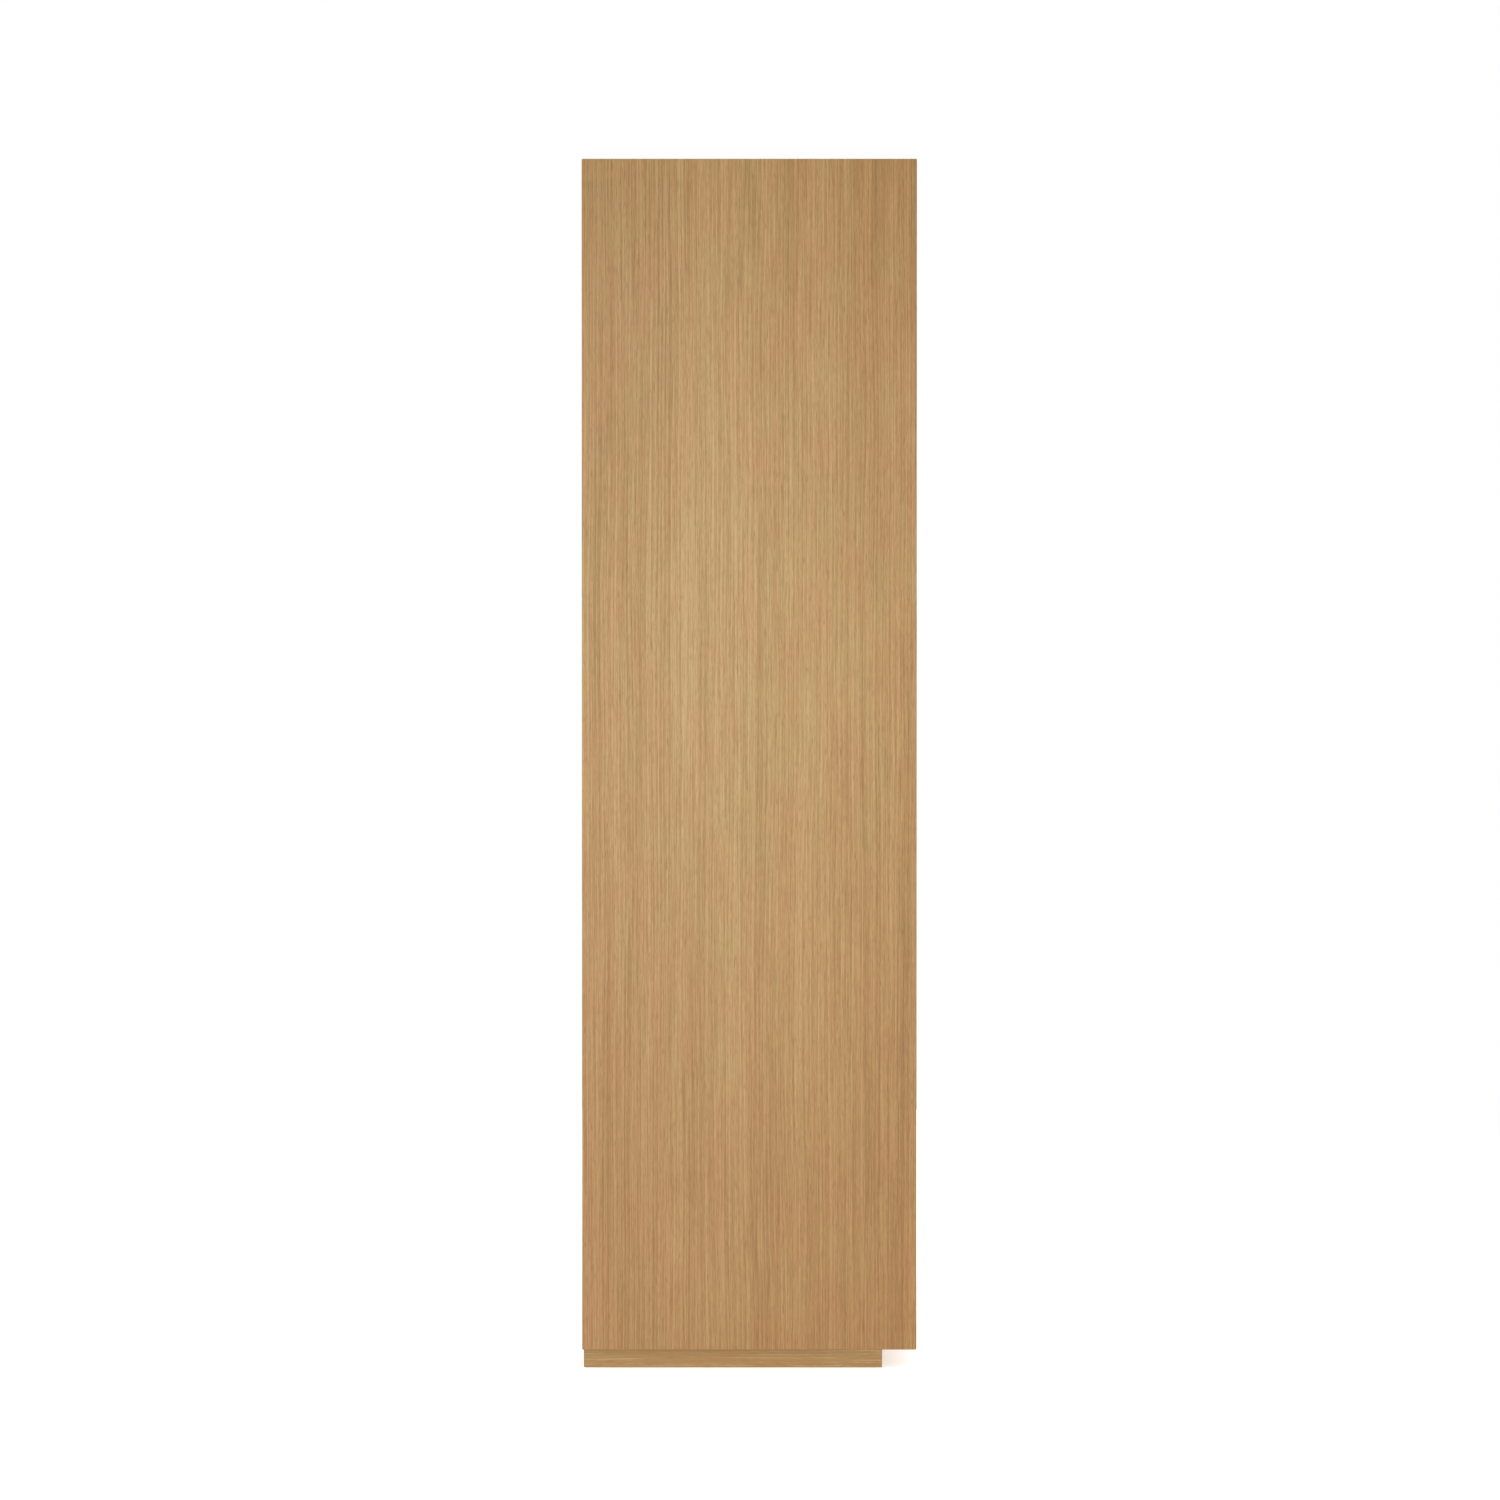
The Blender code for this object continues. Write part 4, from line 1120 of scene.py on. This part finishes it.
class PANTRY_OT_hinges(PantryPiece, bpy.types.Operator):
    """Builds the four knife hinges and their screws"""

    bl_idname = "pantry.hinges"
    bl_label = "Knife hinges"

    def execute(self, context):
        for side in SIDES:
            for end, sign in ENDS.items():
                self.build_hinge(side, end, sign)
        for body in ("case", "door_left", "door_right"):
            self.drive_screws(body)
        return {"FINISHED"}

    def leaf(self, name, side, low_z, face_sign):
        """A leaf with countersunk holes in the face that looks into the gap."""
        outline = leaf_outline(side)
        mesh = prism_mesh(name, outline, low_z, low_z + LEAF_THICKNESS)
        obj = shown(name, rim_rounded(mesh, 0.0003), "satin_nickel_plate")
        face_z = low_z + LEAF_THICKNESS if face_sign > 0 else low_z
        sinks = []
        wide, narrow = sizes().leaf_screw / 2 + 0.0002, 0.0021
        for x in self.screw_places(side):
            cutter = sink_mesh(wide, narrow, wide - narrow)
            if face_sign < 0:
                cutter.transform(Matrix.Rotation(math.pi, 4, "X"))
            cutter.transform(Matrix.Translation((x, PIVOT.y, face_z)))
            sinks.append(cutter)
        return obj, sinks

    def screw_places(self, side):
        return [SIDES[side] * (abs(PIVOT.x) - distance) for distance in (0.028, 0.056)]

    def build_hinge(self, side, end, sign):
        case_node = f"hinge_case_leaf_{side}_{end}"
        door_node = f"hinge_door_leaf_{side}_{end}"
        inward = -sign
        surface = INNER_FLOOR if sign < 0 else INNER_CEILING
        low_z = min(surface, surface - inward * LEAF_THICKNESS)
        case_leaf, sinks = self.leaf(f"case_leaf_{side}_{end}", side, low_z, inward)
        cut(case_leaf, *sinks)
        stem = self.stem(side, surface, inward, span(case_node))
        mesh = joined_mesh("leaf_and_pin", [(case_leaf.data, Matrix()), (stem, Matrix())])
        case_leaf.data = crisp(mesh)
        case_leaf.data.materials.append(finish("satin_nickel_plate"))
        fitted(case_leaf, "case", "satin_nickel", case_node)
        door_low = span(door_node)[0].z
        door_leaf, sinks = self.leaf(f"door_leaf_plate_{side}_{end}", side, door_low, -inward)
        pin_x = SIDES[side] * abs(PIVOT.x)
        hole = round_mesh(PIN_HOLE, door_low - OVERRUN, door_low + LEAF_THICKNESS + OVERRUN, pin_x, PIVOT.y)
        cut(door_leaf, hole, *sinks)
        crisp(door_leaf.data)
        fitted(door_leaf, f"door_{side}", "satin_nickel", door_node)

    def stem(self, side, surface, inward, node_span):
        """The washer and the pin that stand up from the case leaf."""
        low, high = node_span
        reach = (high.z - surface) if inward > 0 else (surface - low.z)
        root, gap = -0.001, 0.0027
        outline = [(0.0, root), (0.0052, root), (0.0052, gap - 0.0004), (0.0048, gap)]
        outline += [(0.0030, gap), (0.0030, reach - 0.0008), (0.0022, reach), (0.0, reach)]
        mesh = turned_mesh("stem", outline, 32)
        if inward < 0:
            mesh.transform(Matrix.Rotation(math.pi, 4, "X"))
        mesh.transform(Matrix.Translation((SIDES[side] * abs(PIVOT.x), PIVOT.y, surface)))
        return mesh

    def drive_screws(self, body):
        places = []
        for side in SIDES:
            for sign in ENDS.values():
                inward = -sign
                if body == "case":
                    surface, outward = (INNER_FLOOR if sign < 0 else INNER_CEILING), inward
                elif body.endswith(side):
                    low, high = span(f"door_{side}")
                    surface, outward = (low.z if sign < 0 else high.z), -inward
                else:
                    continue
                places += [((x, PIVOT.y, surface), (0, 0, outward)) for x in self.screw_places(side)]
        name = f"hinge_screws_{body}"
        fixings(name, places, screw_object(), sizes().leaf_screw, "satin_nickel_plate", body, "satin_nickel")


class PANTRY_OT_catches(PantryPiece, bpy.types.Operator):
    """Builds the magnetic catches, the strikes on the doors, and their screws"""

    bl_idname = "pantry.catches"
    bl_label = "Catches and strikes"

    def execute(self, context):
        places = []
        for end, sign in ENDS.items():
            places += self.build_catch(end, sign)
        size = sizes().small_screw
        fixings("catch_screws", places, screw_object(), size, "bright_zinc_plate", "case", "zinc_steel")
        for side in SIDES:
            places = [self.build_strike(side, end) for end in ENDS]
            name = f"strike_screws_{side}"
            fixings(name, places, screw_object(), size, "satin_nickel_plate", f"door_{side}", "satin_nickel")
        return {"FINISHED"}

    def build_catch(self, end, sign):
        node = f"magnetic_catch_{end}"
        low, high = span(node)
        outline = strip_outline((low.x, low.z), (high.x, high.z), 0.0025)
        mesh = rim_rounded(prism_mesh("catch", outline, low.y, high.y, "Y"), 0.0007, "Y")
        body = shown(f"catch_housing_{end}", mesh, "moulded_abs")
        mid_z = (low.z + high.z) / 2
        windows = []
        magnets = []
        # Heights from the middle, and how far back the face lies: a magnet between its two pole plates.
        bars = [(-0.0018, 0.0018, 0.0004), (-0.0046, -0.0022, 0.0001), (0.0022, 0.0046, 0.0001)]
        for side in SIDES.values():
            x = side * 0.0135
            near = (x - 0.0085, low.y - OVERRUN, mid_z - 0.005)
            far = (x + 0.0085, low.y + 0.0016, mid_z + 0.005)
            windows.append(block_mesh("window", near, far))
            for lower, upper, face in bars:
                near = (x - 0.0081, low.y + face, mid_z + lower)
                far = (x + 0.0081, low.y + 0.0015, mid_z + upper)
                magnets.append((block_mesh("magnet", near, far), Matrix()))
        face_z, outward = (low.z, -1) if sign > 0 else (high.z, 1)
        places = []
        for side in SIDES.values():
            x = side * 0.0235
            y = (low.y + high.y) / 2
            places.append(((x, y, face_z), (0, 0, outward)))
            radius = sizes().small_screw / 2 + 0.0003
            windows.append(round_mesh(radius, face_z - 0.0016, face_z + 0.0016, x, y, 24))
        cut(body, *windows)
        fitted(body, "case", "catch_housing", node)
        plates = shown(f"catch_magnets_{end}", joined_mesh("magnets", magnets), "bright_zinc_plate")
        fitted(plates, "case", "zinc_steel")
        return places

    def build_strike(self, side, end):
        node = f"strike_plate_{side}_{end}"
        low, high = span(node)
        outline = strip_outline((low.x, low.z), (high.x, high.z), 0.0020)
        mesh = rim_rounded(prism_mesh("strike", outline, low.y, high.y, "Y"), 0.00025, "Y")
        plate = shown(f"strike_{side}_{end}", mesh, "satin_nickel_plate")
        centre = (low + high) / 2
        sink = sink_mesh(sizes().small_screw / 2 + 0.0001, 0.0016, 0.0011)
        sink.transform(Matrix.Rotation(-math.pi / 2, 4, "X"))
        sink.transform(Matrix.Translation((centre.x, high.y, centre.z)))
        cut(plate, sink)
        fitted(plate, f"door_{side}", "satin_nickel", node)
        return ((centre.x, high.y, centre.z), (0, 1, 0))


class PANTRY_OT_brackets(PantryPiece, bpy.types.Operator):
    """Builds the two wall brackets inside the top"""

    bl_idname = "pantry.brackets"
    bl_label = "Wall brackets"

    def execute(self, context):
        places = []
        steel = 0.0022
        bend = 0.0040
        hole = 0.0028
        from_corner = 0.024
        for side in SIDES:
            node = f"wall_bracket_{side}"
            low, high = span(node)
            corner = (high.y - bend, high.z - bend)
            outline = [(low.y, high.z), (low.y, high.z - steel)]
            outline += list(arc(corner, bend - steel, 90, 0, 6))
            outline += [(high.y - steel, low.z), (high.y, low.z)]
            outline += list(arc(corner, bend, 0, 90, 6))
            mesh = rim_rounded(prism_mesh("bracket", outline, low.x, high.x, "X"), 0.0003, "X", 1)
            bracket = shown(f"bracket_{side}", mesh, "bright_zinc_plate")
            x = (low.x + high.x) / 2
            rear, top = high.y - from_corner, high.z - from_corner
            up = round_mesh(hole, high.z - 0.006, high.z + OVERRUN, x, rear, 24)
            out = round_mesh(hole, -0.006, OVERRUN, 0.0, 0.0, 24)
            out.transform(Matrix.Rotation(-math.pi / 2, 4, "X"))
            out.transform(Matrix.Translation((x, high.y, top)))
            cut(bracket, up, out)
            fitted(bracket, "case", "zinc_steel", node)
            places.append(((x, rear, high.z - steel - 0.0004), (0, 0, -1)))
            places.append(((x, high.y - steel - 0.0004, top), (0, -1, 0)))
        fixings("bracket_screws", places, screw_object(), 0.0085, "bright_zinc_plate", "case", "zinc_steel")
        return {"FINISHED"}


class PANTRY_OT_feet(PantryPiece, bpy.types.Operator):
    """Builds the levelling feet, and finishes the sockets that they screw into"""

    bl_idname = "pantry.feet"
    bl_label = "Levelling feet"

    def execute(self, context):
        for corner in CORNERS:
            self.build_foot(corner)
            refinished(f"foot_socket_{corner}", "bright_zinc_plate")
        return {"FINISHED"}

    def build_foot(self, corner):
        node = f"levelling_foot_{corner}"
        low, high = span(node)
        x, y = (low.x + high.x) / 2, (low.y + high.y) / 2
        pad = [(0.0, 0.0), (0.0150, 0.0), (0.0160, 0.0008), (0.0160, 0.0042), (0.0150, 0.0056)]
        pad += [(0.0100, 0.0060), (0.0, 0.0060)]
        mesh = turned_mesh("pad", pad, 36)
        mesh.transform(Matrix.Translation((x, y, low.z)))
        piece = shown(f"foot_pad_{corner}", mesh, "moulded_nylon")
        fitted(piece, f"foot_{corner}", "zinc_steel", node)
        top = high.z - low.z
        root = 0.0033
        core = [(0.0, 0.005), (root, 0.005), (root, top - 0.0004), (0.0029, top), (0.0, top)]
        seed = turned_mesh("stud_core", core, 24)
        stud = shown(f"stud_core_{corner}", seed)
        hexagon = list(arc((0.0, 0.0), 0.0022, 0, 300, 5))
        cut(stud, prism_mesh("hexagon", hexagon, top - 0.004, top + OVERRUN))
        core_mesh = stud.data.copy()
        discard(stud)
        # The thread starts at the stud's own origin, so the core is lowered to it, and both are raised after.
        lift = 0.0075
        core_mesh.transform(Matrix.Translation((0.0, 0.0, -lift)))
        values = {
            "Radius": root,
            "Pitch": sizes().thread_pitch,
            "Length": top - lift - 0.0015,
            "Finish": finish("bright_zinc_plate"),
        }
        made = grown(f"foot_stud_{corner}", core_mesh, tree_for("thread"), values)
        made.transform(Matrix.Translation((x, y, low.z + lift)))
        fitted(shown(f"foot_stud_{corner}", made), f"foot_{corner}", "zinc_steel")


# ---------------------------------------------------------------- stage


class PANTRY_OT_stage(PantryPiece, bpy.types.Operator):
    """Sets up the floor, the lights and the camera"""

    bl_idname = "pantry.stage"
    bl_label = "Studio"

    def execute(self, context):
        scene = context.scene
        scene.view_settings.view_transform = "Standard"
        world = bpy.data.worlds.new("studio_white")
        world.use_nodes = True
        background = world.node_tree.nodes["Background"]
        background.inputs["Color"].default_value = (1.0, 1.0, 1.0, 1.0)
        background.inputs["Strength"].default_value = 1.0
        scene.world = world
        edge = list(arc((0.0, 0.0), 3.4, 0, 357, 119))
        mesh = prism_mesh("studio_floor", edge, LOW.z - 0.02, LOW.z)
        shown("studio_floor", mesh, "matt_white_paint")
        middle_point = Vector((0.0, 0.0, (LOW.z + HIGH.z) / 2))
        self.softbox("key", (-3.2, 0.5, 1.3), middle_point, (1.6, 1.6), 2.5)
        self.softbox("front_fill", (1.6, -4.2, 2.6), middle_point, (3.0, 2.0), 50.0)
        self.softbox("rear_fill", (1.8, 4.2, 3.0), middle_point, (3.0, 2.0), 50.0)
        self.softbox("top", (0.0, 0.0, 4.6), middle_point, (3.0, 3.0), 34.0)
        self.aim_camera(scene)
        return {"FINISHED"}

    def softbox(self, name, place, target, size, watts):
        light = bpy.data.lights.new(name, "AREA")
        light.shape = "RECTANGLE"
        light.size, light.size_y = size
        light.energy = watts
        obj = bpy.data.objects.new(name, light)
        bpy.context.scene.collection.objects.link(obj)
        obj.location = place
        obj.rotation_euler = (target - Vector(place)).to_track_quat("-Z", "Y").to_euler()

    def aim_camera(self, scene):
        """A long lens square to the left side, very slightly above the cabinet's middle."""
        data = bpy.data.cameras.new("camera")
        data.lens = 85.0
        data.sensor_width = 36.0
        data.clip_start = 0.1
        data.clip_end = 200.0
        camera = bpy.data.objects.new("camera", data)
        scene.collection.objects.link(camera)
        place = Vector((LOW.x - 5.910, -0.0012, 1.098))
        target = Vector((LOW.x, -0.0012, 1.0348))
        camera.location = place
        camera.rotation_euler = (target - place).to_track_quat("-Z", "Y").to_euler()
        scene.camera = camera


OPERATORS = (
    PANTRY_OT_case,
    PANTRY_OT_back,
    PANTRY_OT_plinth,
    PANTRY_OT_shelves,
    PANTRY_OT_doors,
    PANTRY_OT_hinges,
    PANTRY_OT_catches,
    PANTRY_OT_brackets,
    PANTRY_OT_feet,
    PANTRY_OT_stage,
)


class PANTRY_PT_panel(bpy.types.Panel):
    """Lists the cabinet's pieces, sizes and colours"""

    bl_idname = "PANTRY_PT_panel"
    bl_label = "Pantry cabinet"
    bl_space_type = "VIEW_3D"
    bl_region_type = "UI"
    bl_category = "Cabinet"

    def draw(self, context):
        for operator in OPERATORS:
            self.layout.operator(operator.bl_idname)
        for group in (context.scene.pantry_sizes, context.scene.pantry_colours):
            column = self.layout.column()
            for name in group.__annotations__:
                column.prop(group, name)


CLASSES = (PantrySizes, PantryColours, *OPERATORS, PANTRY_PT_panel)


def register():
    for each in CLASSES:
        bpy.utils.register_class(each)
    bpy.types.Scene.pantry_sizes = bpy.props.PointerProperty(type=PantrySizes)
    bpy.types.Scene.pantry_colours = bpy.props.PointerProperty(type=PantryColours)


def unregister():
    del bpy.types.Scene.pantry_colours
    del bpy.types.Scene.pantry_sizes
    for each in reversed(CLASSES):
        bpy.utils.unregister_class(each)


def main():
    register()
    for operator in OPERATORS:
        group, name = operator.bl_idname.split(".")
        getattr(getattr(bpy.ops, group), name)()


if __name__ == "__main__":
    main()
